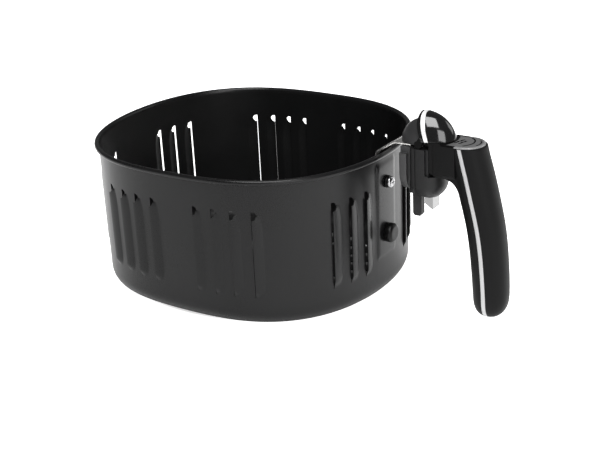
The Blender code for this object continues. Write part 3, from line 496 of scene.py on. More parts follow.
def build_basket():
    slits = sorted([-90 + a for a in LONG] + [90 + a for a in LONG] + list(SHORT)
                   + [(180 + a) if a < 0 else (a - 180) for a in SHORT])
    cols = []                                     # (angle, kind, u)
    us = [0.0, 0.06, 0.13, 0.20, 0.27, 0.33, 0.38, 0.42, 0.44, 0.52, 0.60, 0.70, 0.79, 0.87, 0.93, 0.98, 1.03]
    for s in slits:
        cols.append((s - 0.13, 'L', 0.0))
        for k, u in enumerate(us):
            cols.append((s + 0.13 + (LOUVRE_W - 0.13) * u, 'T' if k == 0 else 'u', u))
    for a in (PAD, PAD - 0.19, PAD - 0.375, PAD - 0.56, PAD - 0.75, PAD - 2.0, PAD - 3.3, PAD - 5.0):
        cols += [(-a, 'f', 2.0), (a, 'f', 2.0)]
    cols.append((0.0, 'f', 2.0))
    cols.sort()
    fill = []
    for (a, ka, _), (b, kb, _) in zip(cols, cols[1:] + [(cols[0][0] + 360, 'L', 0)]):
        if b - a > 1.7:
            n = int(math.ceil((b - a) / 1.5))
            fill += [(a + (b - a) * k / n, 'f', 2.0) for k in range(1, n)]
    cols = sorted(cols + fill)
    nC = len(cols)
    low = [10.0, 11.5, 13.5, 16.0, 18.2, 19.8]
    mid = [20.6, 21.5, 22.5, 23.6, 24.8, 26.0, 27.2, 28.4, 30.0, 33.0, 37.5, 43.0, 49.0, 55.0, 59.5, 62.0, 64.2, 66.2,
           68.0, 69.5, 70.7]
    up = [77.4, 79.0, 81.5, 84.0, 86.5, 87.6, 88.7, 89.8, 91.0, 92.2, 93.2]
    rows = [('z', z) for z in low] + [('m', z) for z in mid] + [('b', 0), ('t', 0)] + [('u', z) for z in up]
    nR = len(rows)
    iLO, iB, iT = len(low) - 1, len(low) + len(mid), len(low) + len(mid) + 1

    def heights(kind, u):
        if kind in 'Tu' and u < MOUTH:
            q = u / MOUTH
            zt = 74.0 + 2.3 * math.sqrt(max(0.0, 1 - q ** 2.6))
            zb = 73.9 - 3.0 * max(0.0, 1 - q ** 2.4) ** 0.7
        elif kind == 'L':
            zt, zb = 76.2, 73.8
        else:
            zt, zb = 73.9, 73.8
        out = []
        for tag, z in rows:
            if tag == 'z':
                out.append(z)
            elif tag == 'm':
                out.append(z if z < 59 else 59 + (z - 59) / (72.0 - 59) * (zb - 59))
            elif tag == 'b':
                out.append(zb)
            elif tag == 't':
                out.append(zt)
            else:
                out.append(z if z > 86 else zt + (z - 75.5) / (86.0 - 75.5) * (86.0 - zt))
        return out

    verts = []

    def put(r, t, z):
        verts.append((r * math.cos(t), r * math.sin(t), z))
        return len(verts) - 1

    O = [[0] * nC for _ in range(nR)]
    I = [[0] * nC for _ in range(nR)]
    for j, (a, kind, u) in enumerate(cols):
        t = math.radians(a)
        hs = heights(kind, u)
        for i, z in enumerate(hs):
            d = pad_rise(a, z)
            if kind in 'Tu' and iLO < i <= iB:
                d += tongue(u, z)
            r = plan(t) + wall_offset(z) + d
            O[i][j] = put(r, t, z)
            I[i][j] = put(r - SHEET, t, z)
    present = [[True] * nC for _ in range(nR - 1)]
    for j, (a, kind, u) in enumerate(cols):
        if kind == 'L':
            for i in range(iLO, iT):
                present[i][j] = False
        if kind in 'Tu' and cols[(j + 1) % nC][2] <= MOUTH + 1e-6:
            present[iB][j] = False
    outer, inner = [], []
    for i in range(nR - 1):
        for j in range(nC):
            j2 = (j + 1) % nC
            if not present[i][j]:
                continue
            outer.append((O[i][j], O[i][j2], O[i + 1][j2], O[i + 1][j]))
            inner.append((I[i][j], I[i + 1][j], I[i + 1][j2], I[i][j2]))
            if not present[i][j - 1]:
                outer.append((O[i][j], O[i + 1][j], I[i + 1][j], I[i][j]))
            if not present[i][j2]:
                outer.append((O[i][j2], I[i][j2], I[i + 1][j2], O[i + 1][j2]))
            if i > 0 and not present[i - 1][j]:
                outer.append((O[i][j], I[i][j], I[i][j2], O[i][j2]))
            if i < nR - 2 and not present[i + 1][j]:
                outer.append((O[i + 1][j], O[i + 1][j2], I[i + 1][j2], I[i + 1][j]))
    angs = [math.radians(c[0]) for c in cols]

    def ring(off, z):
        return [put(plan(t) + off, t, z) for t in angs]

    def skin(a, b, out):
        for k in range(nC):
            k2 = (k + 1) % nC
            out.append((a[k], a[k2], b[k2], b[k]))

    bead = []
    for k in range(29):
        t = math.radians(-128 + 270.0 * k / 28)
        bead.append((-BEAD_R + BEAD_R * math.cos(t), BEAD_Z + BEAD_R * math.sin(t)))
    bead += [(-WALL_IN - SHEET * 0.72, BEAD_Z + 0.55), (-WALL_IN - SHEET, BEAD_Z - 0.4)]
    rings = [ring(o, z) for o, z in bead]
    skin(O[-1], rings[0], outer)
    for k, (a, b) in enumerate(zip(rings[:-1], rings[1:])):
        skin(a, b, outer)
    skin(rings[-1], I[-1], inner)

    def corner(extra):
        pts = []
        for k in range(1, 10):
            a = math.radians(10 * k)
            pts.append((wall_offset(CORNER) - extra - (CORNER - extra) * (1 - math.cos(a)),
                        CORNER - (CORNER - extra) * math.sin(a)))
        return pts
    oc = [ring(o, z) for o, z in corner(0.0)]
    ic = [ring(o, z) for o, z in corner(SHEET)]
    skin(O[0], oc[0], outer)
    skin(ic[0], I[0], inner)
    for rr, dst in ((oc, outer), (ic, inner)):
        for a, b in zip(rr[:-1], rr[1:]):
            skin(a, b, dst)

    # floor: radial slots with round ends
    def slot_loop(a_deg, r0, r1, w0, w1, n=9):
        """Round-ended slot from radius r0 to r1, w0 and w1 wide."""
        pts = []
        for k in range(n):
            t = math.pi / 2 + math.pi * k / (n - 1)
            pts.append((r0 + w0 / 2 + w0 / 2 * math.cos(t), w0 / 2 * math.sin(t)))
        for k in range(n):
            t = -math.pi / 2 + math.pi * k / (n - 1)
            pts.append((r1 - w1 / 2 + w1 / 2 * math.cos(t), w1 / 2 * math.sin(t)))
        c, s = math.cos(math.radians(a_deg)), math.sin(math.radians(a_deg))
        return [(x * c - y * s, x * s + y * c) for x, y in pts]

    def cell(x, y, offs):
        return (x, y, offs)

    edge_o = [verts[i] for i in oc[-1]]
    edge_i = [verts[i] for i in ic[-1]]
    # each face of the floor takes its outline from the last ring of its own corner
    loops = []
    for k in range(30):
        loops.append(slot_loop(-177 + 12 * k, 54.4, 77.6, 5.0, 7.0))
        loops.append(slot_loop(-177 + 12 * k, 26.3, 45.7, 2.3, 4.2))
    rings_in = []
    for r in (82.0, 50.0, 22.0):
        rings_in.append([(r * math.cos(2 * math.pi * k / 120), r * math.sin(2 * math.pi * k / 120)) for k in range(120)])

    def floor_face(edge, z, bead_h):
        pts = [(x, y) for x, y, _ in edge]
        edges = [(k, (k + 1) % nC) for k in range(nC)]
        n0 = len(pts)
        for lp in loops:
            b = len(pts)
            pts += lp
            edges += [(b + k, b + (k + 1) % len(lp)) for k in range(len(lp))]
        v2, e2, f2, ov, _, _ = delaunay_2d_cdt([Vector(p) for p in pts], edges, [], 0, 1e-5)
        # outline edges that bound a slot are dropped with the faces inside it
        polys = [[Vector(p) for p in lp] for lp in loops]
        cents = [(sum(p[0] for p in lp) / len(lp), sum(p[1] for p in lp) / len(lp)) for lp in loops]
        arr = np.array([(p[0], p[1]) for p in v2])
        keep = []

        def inside(x, y, lp):
            c = False
            n = len(lp)
            j = n - 1
            for i in range(n):
                xi, yi = lp[i]
                xj, yj = lp[j]
                if (yi > y) != (yj > y) and x < (xj - xi) * (y - yi) / (yj - yi) + xi:
                    c = not c
                j = i
            return c
        outline = [(x, y) for x, y, _ in edge]
        for f in f2:
            cx, cy = arr[list(f)].mean(axis=0)
            bad = False
            for lp, (mx, my) in zip(loops, cents):
                if (cx - mx) ** 2 + (cy - my) ** 2 < 13.5 ** 2 and inside(cx, cy, lp):
                    bad = True
                    break
            if not bad and not inside(cx, cy, outline):
                bad = True
            if not bad:
                keep.append(list(f))
        base = []
        for n, p in enumerate(v2):
            src = ov[n][0] if ov[n] else -1
            if 0 <= src < nC:
                base.append(None if edge is None else ('edge', src))
            else:
                base.append(('new', src, (p[0], p[1])))
        return v2, keep, base

    fo = floor_face(edge_o, 0.0, 0)
    fi = floor_face(edge_i, SHEET, 0)
    maps = []
    for (v2, keep, base), rim, z, dst, flip in ((fo, oc[-1], 0.0, outer, True), (fi, ic[-1], SHEET, inner, False)):
        ids, loopid = [], {}
        for bse in base:
            if bse[0] == 'edge':
                ids.append(rim[bse[1]])
            else:
                verts.append((bse[2][0], bse[2][1], z))
                ids.append(len(verts) - 1)
                loopid[bse[1]] = len(verts) - 1
        for f in keep:
            g = [ids[k] for k in f]
            dst.append(tuple(g[::-1] if flip else g))
        maps.append(loopid)
    # slot walls
    b = nC
    for lp in loops:
        n = len(lp)
        for k in range(n):
            a0, a1 = b + k, b + (k + 1) % n
            if all(q in maps[0] and q in maps[1] for q in (a0, a1)):
                inner.append((maps[0][a0], maps[0][a1], maps[1][a1], maps[1][a0]))
        b += n
    me = bpy.data.meshes.new("basket")
    me.from_pydata([tuple(c * MM for c in v) for v in verts], [], outer + inner)
    me.update()
    me.materials.append(M_OUT)
    me.materials.append(M_IN)
    idx = np.zeros(len(me.polygons), dtype=np.int32)
    idx[len(outer):] = 1
    me.polygons.foreach_set("material_index", idx)
    bm = bmesh.new()
    bm.from_mesh(me)
    bmesh.ops.recalc_face_normals(bm, faces=bm.faces)
    bm.to_mesh(me)
    bm.free()
    shade(me, 32)
    ob = bpy.data.objects.new("basket", me)
    scene.collection.objects.link(ob)
    return ob


basket = build_basket()
boolean(basket, [lathe("c1", [(0, -6), (2.3, -6), (2.3, 6), (0, 6)], (WALL_X, 0, SCREW_Z), 'x', None, 32),
                 lathe("c2", [(0, -6), (3.3, -6), (3.3, 6), (0, 6)], (WALL_X, 0, PLUG_Z), 'x', None, 32)],
        'DIFFERENCE', 32)
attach(basket, "basket")
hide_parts("basket_shell")

# ---------------------------------------------------------------- handle
PIV_X, PIV_Z = 127.6, 107.1
DOME_X, DOME_Z = 127.3, 105.3
VISOR_R, VISOR_W, VISOR_T = 20.1, 12.5, 1.7
CAP_R, CAP_W, CAP_T = 15.5, 9.9, 1.8
HOUSE_TOP = 104.4
NECK_TOP, NECK_LOW = 109.0, 87.6
LEVER_X, LEVER_Z = 123.5, 84.0
LIP = [(130.25, 109.3), (128.7, 112.2), (126.9, 116.2), (125.8, 119.5), (125.4, 123.0), (125.4, 130.0)]
RING_FRONT = [(132.2, 109.5), (131.3, 111.6), (130.1, 114.8), (128.8, 118.2), (127.8, 121.4), (127.1, 123.8), (126.7, 126.5)]
RING_REAR = [(134.3, 109.5), (133.6, 111.8), (132.4, 115.0), (131.3, 118.4), (130.4, 121.7), (129.4, 124.2), (128.5, 126.5)]


def along_z(pts, n):
    t = sorted((z, x) for x, z in pts)
    z0, z1 = t[0][0], t[-1][0]
    return [(table_at(t, z0 + (z1 - z0) * k / n), z0 + (z1 - z0) * k / n) for k in range(n + 1)]


def chaikin(pts, times=2, closed=False):
    """Round the corners of a line, keeping its two ends."""
    for _ in range(times):
        out = []
        n = len(pts)
        rng = range(n) if closed else range(n - 1)
        for i in rng:
            a, b = pts[i], pts[(i + 1) % n]
            out.append(tuple(0.75 * p + 0.25 * q for p, q in zip(a, b)))
            out.append(tuple(0.25 * p + 0.75 * q for p, q in zip(a, b)))
        if not closed:
            out = [pts[0]] + out + [pts[-1]]
        pts = out
    return pts


def finish(ob, node, body):
    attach(ob, body)
    if node:
        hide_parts(node)
    return ob


def egg(name, shrink, mat, seg=176, rows=72):
    r, w = VISOR_R - shrink, VISOR_W - shrink
    prof = []
    for k in range(rows + 1):
        t = math.pi * (k / rows - 0.5)
        prof.append((r * math.cos(t) if 0 < k < rows else 0.0, w * math.sin(t)))
    return lathe(name, prof, (DOME_X, 0, DOME_Z), 'y', mat, seg)


def dome_point(r, w, lat, phi):
    a, p = math.radians(lat), math.radians(phi)
    rho = r * math.cos(a)
    return (DOME_X + rho * math.sin(p), w * math.sin(a), DOME_Z + rho * math.cos(p))


def ring_strip(name, grow, low, mat):
    f, r = along_z(RING_FRONT, 16), along_z(RING_REAR, 16)
    pts = [(x - grow, z) for x, z in f] + [(x + grow, z) for x, z in r[::-1]]
    pts[0] = (pts[0][0] + 0.3 * (109.5 - low), low)
    pts[-1] = (pts[-1][0] + 0.3 * (109.5 - low), low)
    return prism(name, pts, (-16.0, 16.0), mat)


# button cover: a polished dome shell with a groove for the bright ring
visor = egg("cover_shell", 0.0, M_GLOSS)
boolean(visor, [prism("z", along_z(LIP, 24) + [(152.0, 130.0), (152.0, 109.3)], (-16.0, 16.0), M_GLOSS)], 'INTERSECT', 30)
boolean(visor, [egg("i", VISOR_T, M_GLOSS, 96, 40)], 'DIFFERENCE', 30)
groove = egg("g", -1.0, M_GLOSS)
boolean(groove, [ring_strip("gs", 0.16, 108.0, M_GLOSS)], 'INTERSECT')
boolean(groove, [egg("gi", 0.9, M_GLOSS)], 'DIFFERENCE')
boolean(visor, [groove], 'DIFFERENCE', 30)
for s in (-1, 1):
    arm = [(PIV_X + 2.4 * math.cos(math.radians(a)), PIV_Z + 2.4 * math.sin(math.radians(a))) for a in range(100, 361, 12)]
    arm += [(PIV_X + 2.9, PIV_Z + 0.3), (131.2, 109.6), (130.1, 112.4), (128.9, 112.2)]
    boolean(visor, [prism("e", arm, sorted((s * 10.2, s * 11.8)), M_GLOSS)], 'UNION', 30)
boolean(visor, [lathe("p", [(0, -11.3), (1.3, -11.3), (1.3, 11.3), (0, 11.3)], (PIV_X, 0, PIV_Z), 'y', M_GLOSS, 32)],
        'DIFFERENCE', 30)
visor.data.materials.append(M_DARK)
for p in visor.data.polygons:
    c = p.center / MM
    if math.hypot(c.x - PIV_X, c.z - PIV_Z) < 3.3 and abs(c.y) > 10.0 and c.z < 109.9:
        p.material_index = 1
finish(visor, "button_cover", "cover")

trim = egg("bright_ring", -0.18, M_CHROME)
boolean(trim, [ring_strip("ts", 0.0, 109.5, M_CHROME)], 'INTERSECT', 30)
boolean(trim, [egg("ti", 0.6, M_CHROME)], 'DIFFERENCE', 30)
soften(trim, 0.22, 3, 40)
finish(trim, "cover_trim_ring", "cover")

# fixed cap in front of the button
def cap_section(lat, n=36):
    low = -math.degrees(math.acos(min(0.95, 0.75 / (CAP_R * math.cos(math.radians(lat))))))
    phis = [low + (-2.0 - low) * k / n for k in range(n + 1)]
    return ([dome_point(CAP_R, CAP_W, lat, p) for p in phis]
            + [dome_point(CAP_R - CAP_T, CAP_W - CAP_T, lat, p) for p in phis[::-1]])


secs = [cap_section(-80 + 160.0 * k / 56) for k in range(57)]
nn = len(secs[0])
cv = [p for s in secs for p in s]
cf = []
for i in range(56):
    for k in range(nn):
        k2 = (k + 1) % nn
        cf.append((i * nn + k, i * nn + k2, (i + 1) * nn + k2, (i + 1) * nn + k))
for o in (0, 56 * nn):
    for k in range(nn // 2 - 1):
        q = (o + k, o + k + 1, o + nn - 2 - k, o + nn - 1 - k)
        cf.append(q[::-1] if o == 0 else q)
cap = make("dome_front", cv, cf, M_CAP)
for s in (-1, 1):
    boolean(cap, [lathe("l", [(0, s * 7.6), (2.4, s * 7.6), (2.4, s * 9.9), (0, s * 9.9)], (PIV_X, 0, PIV_Z), 'y', M_CAP, 48)],
            'UNION')
boolean(cap, [lathe("p", [(0, -14), (1.3, -14), (1.3, 14), (0, 14)], (PIV_X, 0, PIV_Z), 'y', M_CAP, 32),
              cube("b", (105.0, -14.0, 95.0), (124.5, 14.0, 106.0), M_CAP)], 'DIFFERENCE')
finish(cap, "dome_cap", "basket")

# button
def button_section(x):
    pts = [(x, -5.6, 97.0)]
    for k in range(29):
        y = -5.6 + 11.2 * k / 28
        v = 14.0 ** 2 * (1 - (y / 8.3) ** 2) - (x - PIV_X) ** 2
        pts.append((x, y, PIV_Z + math.sqrt(max(9.0, v))))
    return pts + [(x, 5.6, 97.0)]


button = loft("button_body", [button_section(129.2 + 9.2 * k / 24) for k in range(25)], M_CAP)
boolean(button, [cube("s", (129.3, -1.8, 86.0), (131.7, 1.8, 98.0), M_CAP, 0.2)], 'UNION')
soften(button, 0.35, 3, 50)
finish(button, "release_button", "button")

# mount block
def shield(half, top, low, n=22):
    pts = [(-half, top)]
    for k in range(2 * n + 1):
        t = math.pi * k / (2 * n)
        c = -math.cos(t)
        pts.append((half * math.copysign(abs(c) ** 0.8, c), low + 12.5 * (1 - abs(math.sin(t)) ** 0.9)))
    return pts + [(half, top)]


mount = loft("mount_body", [[(x, y, z) for y, z in shield(h, t, l)] for x, h, t, l in
                            ((114.9, 11.2, 104.1, 76.6), (115.05, 11.6, 104.2, 76.1), (115.4, 12.0, 104.2, 75.7),
                             (119.2, 12.0, 104.2, 75.7), (119.45, 11.85, 104.2, 75.8), (119.7, 11.6, 104.2, 76.0),
                             (121.2, 11.6, 104.2, 76.0))], M_MOUNT)
boolean(mount, [cube("c", (113, -2.6, 70), (123, 2.6, 83), M_MOUNT),
                cube("c2", (118.0, -2.6, 82), (123, 2.6, 90), M_MOUNT),
                cube("c3", (112.0, -14.0, 100.4), (123, -9.4, 106.0), M_MOUNT, 0.3),
                cube("c4", (112.0, 9.4, 100.4), (123, 14.0, 106.0), M_MOUNT, 0.3),
                cube("c5", (119.7, -14.0, 70.0), (123, -9.4, 106.0), M_MOUNT),
                cube("c6", (119.7, 9.4, 70.0), (123, 14.0, 106.0), M_MOUNT)], 'DIFFERENCE')
finish(mount, "mount_block", "basket")

# housing with a rounded bowl at the bottom
BOWL_X, BOWL_Z, BOWL_R = 130.7, 81.4, 10.3


def housing_plan():
    pts = [(121.5, 0.0), (121.5, 9.2), (121.6, 10.0), (121.9, 10.7), (122.3, 11.2), (122.9, 11.55), (123.6, 11.7),
           (124.9, 11.7), (125.4, 11.72), (125.6, 11.9), (125.75, 12.1), (126.0, 12.22), (126.6, 12.3)]
    for k in range(1, 15):
        t = math.pi / 2 * k / 15
        pts.append((131.5 + 9.0 * math.sin(t), 12.3 * math.cos(t)))
    pts.insert(13, (131.5, 12.3))
    pts.append((140.5, 0.0))
    return pts


def housing_slice(z):
    k = 1.0 if z >= BOWL_Z else math.sqrt(max(0.0, 1 - ((BOWL_Z - z) / BOWL_R) ** 2))
    half = [(BOWL_X + (x - BOWL_X) * k, w * k) for x, w in housing_plan()]
    return [(x, -w, z) for x, w in half] + [(x, w, z) for x, w in half[1:-1]][::-1]


house = loft("housing_body", [housing_slice(z) for z in [HOUSE_TOP, 96.0, 88.0, BOWL_Z]
                              + [BOWL_Z - BOWL_R * math.sin(math.radians(d)) for d in range(4, 89, 4)]], M_HOUSE)
boolean(house, [cube("t", (121.5, -11.2, 75.6), (124.9, 11.2, 84.0), M_HOUSE, 0.9, 4)], 'UNION')
boolean(house, [cube("n", (134.2, -14.0, 87.3), (145.0, 14.0, 110.0), M_HOUSE),
                cube("c1", (128.8, -6.0, 90.0), (138.8, 6.0, 125.0), M_HOUSE),
                cube("c2", (120.0, -5.1, 60.0), (134.6, 5.1, 88.6), M_HOUSE),
                cube("c3", (128.9, -2.2, 87.0), (132.1, 2.2, 92.0), M_HOUSE),
                cube("s1", (132.3, -14.0, 88.1), (136.0, -11.0, 110.0), M_HOUSE),
                cube("s2", (132.3, 11.0, 88.1), (136.0, 14.0, 110.0), M_HOUSE),
                lathe("c4", [(0, -10.4), (1.3, -10.4), (1.3, 10.4), (0, 10.4)], (LEVER_X, 0, LEVER_Z), 'y', M_HOUSE, 32)],
        'DIFFERENCE')
finish(house, "handle_housing", "basket")

# grip
AXIS = [(0.0, 169.9), (5.0, 169.9), (20.0, 169.6), (41.0, 168.2), (55.0, 166.5), (65.0, 164.6), (80.0, 161.1),
        (91.0, 158.5), (100.0, 156.2), (110.0, 153.7)]
DEPTH = [(0.8, 3.6), (2.0, 6.1), (5.0, 8.5), (10.0, 9.8), (20.0, 10.2), (41.0, 10.5), (55.0, 10.7), (65.0, 10.9),
         (80.0, 11.2), (91.0, 11.5), (100.0, 11.7), (110.0, 12.0)]
WIDTH = [(0.8, 4.0), (2.0, 6.6), (5.0, 9.0), (10.0, 10.3), (20.0, 10.8), (41.0, 11.1), (55.0, 11.3), (65.0, 11.4),
         (80.0, 11.5), (91.0, 11.5), (110.0, 11.5)]
SQ, SPLIT, BAND, BAND_D, GRIP_TOP = 2.3, 1.42, 1.3, 2.2, 107.9
LEVELS = [0.8, 0.9, 1.05, 1.25, 1.5, 1.8, 2.2, 2.7, 3.3, 4.0, 4.8, 5.7, 6.8, 8.0, 9.5, 11.2, 13.2] \
    + [15.5 + 3.0 * k for k in range(31)] + [107.0, 107.75, GRIP_TOP]


def axis_at(z):
    return table_at(AXIS, z)


def end_round(z):
    """Share of the full section left near the grip's lower end."""
    return min(1.0, math.sqrt(max(0.02, 1 - ((3.0 - z) / 3.0) ** 2))) if z < 3.0 else 1.0


BELLY = [(0.8, 0.0), (5.0, 0.6), (12.0, 1.2), (25.0, 1.4), (55.0, 1.4), (80.0, 1.2), (95.0, 0.5), (105.0, 0.0), (110.0, 0.0)]


def half_section(z, sign, n=37):
    a, w, xc = table_at(DEPTH, z), table_at(WIDTH, z), axis_at(z)
    if sign > 0:
        a += max(0.0, table_at(BELLY, z))
    if z > 107.5:
        a, w = a - (z - 107.5) * 0.5, w - (z - 107.5) * 0.5
    t0 = math.asin(min(0.9, (SPLIT / a) ** (SQ / 2)))
    pts = []
    for k in range(n):
        t = t0 + (math.pi - 2 * t0) * k / (n - 1)
        c, s = math.cos(t), math.sin(t)
        pts.append((xc + sign * a * abs(s) ** (2 / SQ), -w * math.copysign(abs(c) ** (2 / SQ), c), z))
    return pts


front = loft("grip_front", [half_section(z, -1) for z in LEVELS], M_MATTE)
rib = []
for z in [4.5 + (GRIP_TOP - 4.5) * k / 24 for k in range(25)]:
    xc, h = axis_at(z), table_at(WIDTH, z) - BAND_D - 0.5
    rib.append([(xc - 2.6, -h, z), (xc + BAND, -h, z), (xc + BAND, h, z), (xc - 2.6, h, z)])
boolean(front, [loft("rib", rib, M_MATTE)], 'UNION')


def neck_section(x, w, lo):
    r, rt = 3.2, 0.8
    pts = []
    for cx, cz, rr, a0 in ((-w + r, lo + r, r, 180), (w - r, lo + r, r, 270), (w - rt, NECK_TOP - rt, rt, 0),
                           (-w + rt, NECK_TOP - rt, rt, 90)):
        for k in range(9):
            a = math.radians(a0 + 90 * k / 8)
            pts.append((x, cx + rr * math.cos(a), cz + rr * math.sin(a)))
    return pts


neck = loft("n", [neck_section(134.5, 11.0, 88.1), neck_section(136.9, 11.0, 88.1), neck_section(137.05, 11.2, 87.9),
                  neck_section(137.3, 11.45, 87.65), neck_section(137.6, 11.5, NECK_LOW),
                  neck_section(148.0, 11.5, NECK_LOW), neck_section(151.6, 11.5, NECK_LOW)], M_MATTE)
under = chaikin([(143.0, 88.0), (145.8, 87.5), (149.0, 86.3), (151.6, 83.8), (153.5, 80.2), (155.4, 74.0)], 3)
fillet = prism("f", [(143.0, 92.0)] + under + [(158.6, 74.0), (156.6, 86.0), (155.8, 92.0)], (-10.0, 10.0), M_MATTE)
boolean(front, [neck, fillet], 'UNION')
PLATE_X0, PLATE_CX, PLATE_R = 141.6, 154.0, 11.3


def plate_outline(off, z, n=48):
    r, x0, rc = PLATE_R - off, PLATE_X0 + off, max(0.5, 1.6 - off)
    pts = []
    for k in range(n + 1):
        a = math.radians(-90 + 180 * k / n)
        pts.append((PLATE_CX + r * math.cos(a), r * math.sin(a), z))
    for k in range(9):
        a = math.radians(90 + 90 * k / 8)
        pts.append((x0 + rc + rc * math.cos(a), r - rc + rc * math.sin(a), z))
    for k in range(9):
        a = math.radians(180 + 90 * k / 8)
        pts.append((x0 + rc + rc * math.cos(a), -r + rc + rc * math.sin(a), z))
    return pts


boolean(front, [loft("r", [plate_outline(-0.18, GRIP_TOP), plate_outline(-0.18, 112.0)], M_MATTE),
                cube("w", (128.8, -6.0, 90.0), (138.8, 6.0, 125.0), M_MATTE)], 'DIFFERENCE')
finish(front, "handle_front", "basket")
rear = loft("grip_rear", [half_section(z, 1) for z in LEVELS], M_MATTE)
finish(rear, "handle_rear", "basket")

contour = [(-(table_at(WIDTH, z) + 0.12), z) for z in
           [GRIP_TOP - 0.1] + [106 - 2.5 * k for k in range(38)] + [11.5, 9.5, 7.8, 6.2, 5.0, 4.0, 3.2, 2.5, 1.9, 1.4, 1.0]]
contour += [(-2.0, 0.66), (0.0, 0.62), (2.0, 0.66)] + [(-y, z) for y, z in contour[::-1]]
band = []
for i, (y, z) in enumerate(contour):
    p, q = contour[max(0, i - 1)], contour[min(len(contour) - 1, i + 1)]
    d = math.hypot(q[0] - p[0], q[1] - p[1])
    ny, nz = -(q[1] - p[1]) / d, (q[0] - p[0]) / d
    if i in (0, len(contour) - 1):
        ny, nz = (1.0, 0.0) if i == 0 else (-1.0, 0.0)
    sec = []
    for dx, dep in ((-BAND, BAND_D), (-BAND, 0.28), (-BAND + 0.08, 0.12), (-BAND + 0.28, 0.03), (-0.4, 0.0), (0.4, 0.0),
                    (BAND - 0.28, 0.03), (BAND - 0.08, 0.12), (BAND, 0.28), (BAND, BAND_D)):
        yi, zi = y + ny * dep, z + nz * dep
        sec.append((axis_at(zi) + dx, yi, zi))
    band.append(sec)
finish(loft("bright_band", band, M_SILVER), "silver_band", "basket")

plate = loft("plate_face", [plate_outline(1.78, GRIP_TOP + 0.3), plate_outline(1.78, 108.85), plate_outline(1.84, 108.95),
                            plate_outline(1.95, 109.0)], M_PLATE)
finish(plate, "top_plate", "basket")
brd = loft("plate_edge", [plate_outline(0.0, GRIP_TOP + 0.3), plate_outline(0.0, 108.45), plate_outline(0.08, 108.75),
                          plate_outline(0.25, 108.95), plate_outline(0.45, 109.02)], M_EDGE)
boolean(brd, [loft("b", [plate_outline(1.62, 105.0), plate_outline(1.62, 112.0)], M_EDGE)], 'DIFFERENCE')
finish(brd, "top_plate_border", "basket")


def stroke(name, pts, width, mat):
    """Flat mark printed on the plate: a ribbon along a line."""
    pts = chaikin(pts, 2)
    lo, hi = [], []
    for i, (x, y) in enumerate(pts):
        a, b = pts[max(0, i - 1)], pts[min(len(pts) - 1, i + 1)]
        d = math.hypot(b[0] - a[0], b[1] - a[1])
        nx, ny = -(b[1] - a[1]) / d * width / 2, (b[0] - a[0]) / d * width / 2
        lo.append((x - nx, y - ny))
        hi.append((x + nx, y + ny))
    out = lo + hi[::-1]
    ob = loft(name, [[(x, y, 108.99) for x, y in out], [(x, y, 109.035) for x, y in out]], mat)
    return finish(ob, None, "basket")


# generic unlock sign: an open bracket and a small wave
stroke("plate_mark_a", [(153.6, 8.2), (156.6, 6.0), (158.2, 2.6), (158.4, -1.4), (157.0, -4.8), (154.8, -7.4)], 0.95, M_INK)
stroke("plate_mark_d", [(154.0 + 8.6 * math.cos(t), 8.6 * math.sin(t)) for t in (-0.45, -0.15, 0.15, 0.45, 0.75)], 0.7, M_INK)
stroke("plate_mark_b", [(147.8, -3.8), (149.1, -2.0), (148.7, -0.2), (150.2, 0.6), (150.0, 2.2), (151.4, 3.4)], 1.15, M_INK)
stroke("plate_mark_c", [(150.6, -4.2), (151.8, -2.8), (151.5, -1.2), (152.8, 0.2), (152.8, 2.0)], 1.15, M_INK)

# strap over the rim
line = [(97.0, 66.0), (97.0, 80.0), (97.0, 95.2), (97.3, 96.8), (98.2, 98.0), (107.6, 103.9), (109.0, 104.7),
        (110.8, 105.1), (121.0, 105.1)]
line = line[:2] + chaikin(line[2:8], 3) + line[8:]
rows = []
for i, (x, z) in enumerate(line):
    a, b = line[max(0, i - 1)], line[min(len(line) - 1, i + 1)]
    d = math.hypot(b[0] - a[0], b[1] - a[1])
    nx, nz = -(b[1] - a[1]) / d, (b[0] - a[0]) / d
    sec = []
    for y, h in ((-8.0, -0.32), (-8.0, 0.32), (-7.93, 0.5), (-7.72, 0.6), (-4.0, 0.6), (0.0, 0.6), (4.0, 0.6), (7.72, 0.6),
                 (7.93, 0.5), (8.0, 0.32), (8.0, -0.32), (7.93, -0.5), (7.72, -0.6), (0.0, -0.6), (-7.72, -0.6),
                 (-7.93, -0.5)):
        sec.append((x + nx * h, y, z + nz * h))
    rows.append(sec)
strap = loft("rim_strap", rows, M_STEEL)
boolean(strap, [lathe("c", [(0, -9), (2.15, -9), (2.15, 0), (0, 0)], (WALL_X, 0, SCREW_Z), 'x', M_STEEL, 40)], 'DIFFERENCE')
finish(strap, "rim_bracket", "basket")

# screw with a cross recess, its spacer and the rubber stop
head = [(2.1, 3.60), (2.45, 3.64), (2.85, 3.6)]
scr = [(0, -6.0), (1.3, -6.0), (1.75, -5.5), (1.75, 2.1), (3.35, 2.1), (3.58, 2.16), (3.65, 2.35), (3.65, 2.85)]
for k in range(1, 15):
    t = math.pi / 2 * k / 15
    scr.append((3.65 * math.cos(t) ** 0.75, 2.85 + 1.75 * math.sin(t)))
scr.append((0, 4.6))
screw = lathe("pan_screw", scr, (WALL_X, 0, SCREW_Z), 'x', M_ZINC, 64, 30)
arms = []
for ay, az in ((2.1, 0.42), (0.42, 2.1)):
    arms.append(loft("x", [[(WALL_X + 3.0, sy * ay * 0.55, SCREW_Z + sz * az * 0.55) for sy, sz in ((-1, -1), (1, -1), (1, 1), (-1, 1))],
                           [(WALL_X + 5.0, sy * ay, SCREW_Z + sz * az) for sy, sz in ((-1, -1), (1, -1), (1, 1), (-1, 1))]], M_ZINC))
boolean(screw, arms, 'DIFFERENCE', 30)
finish(screw, "wall_screw", "basket")
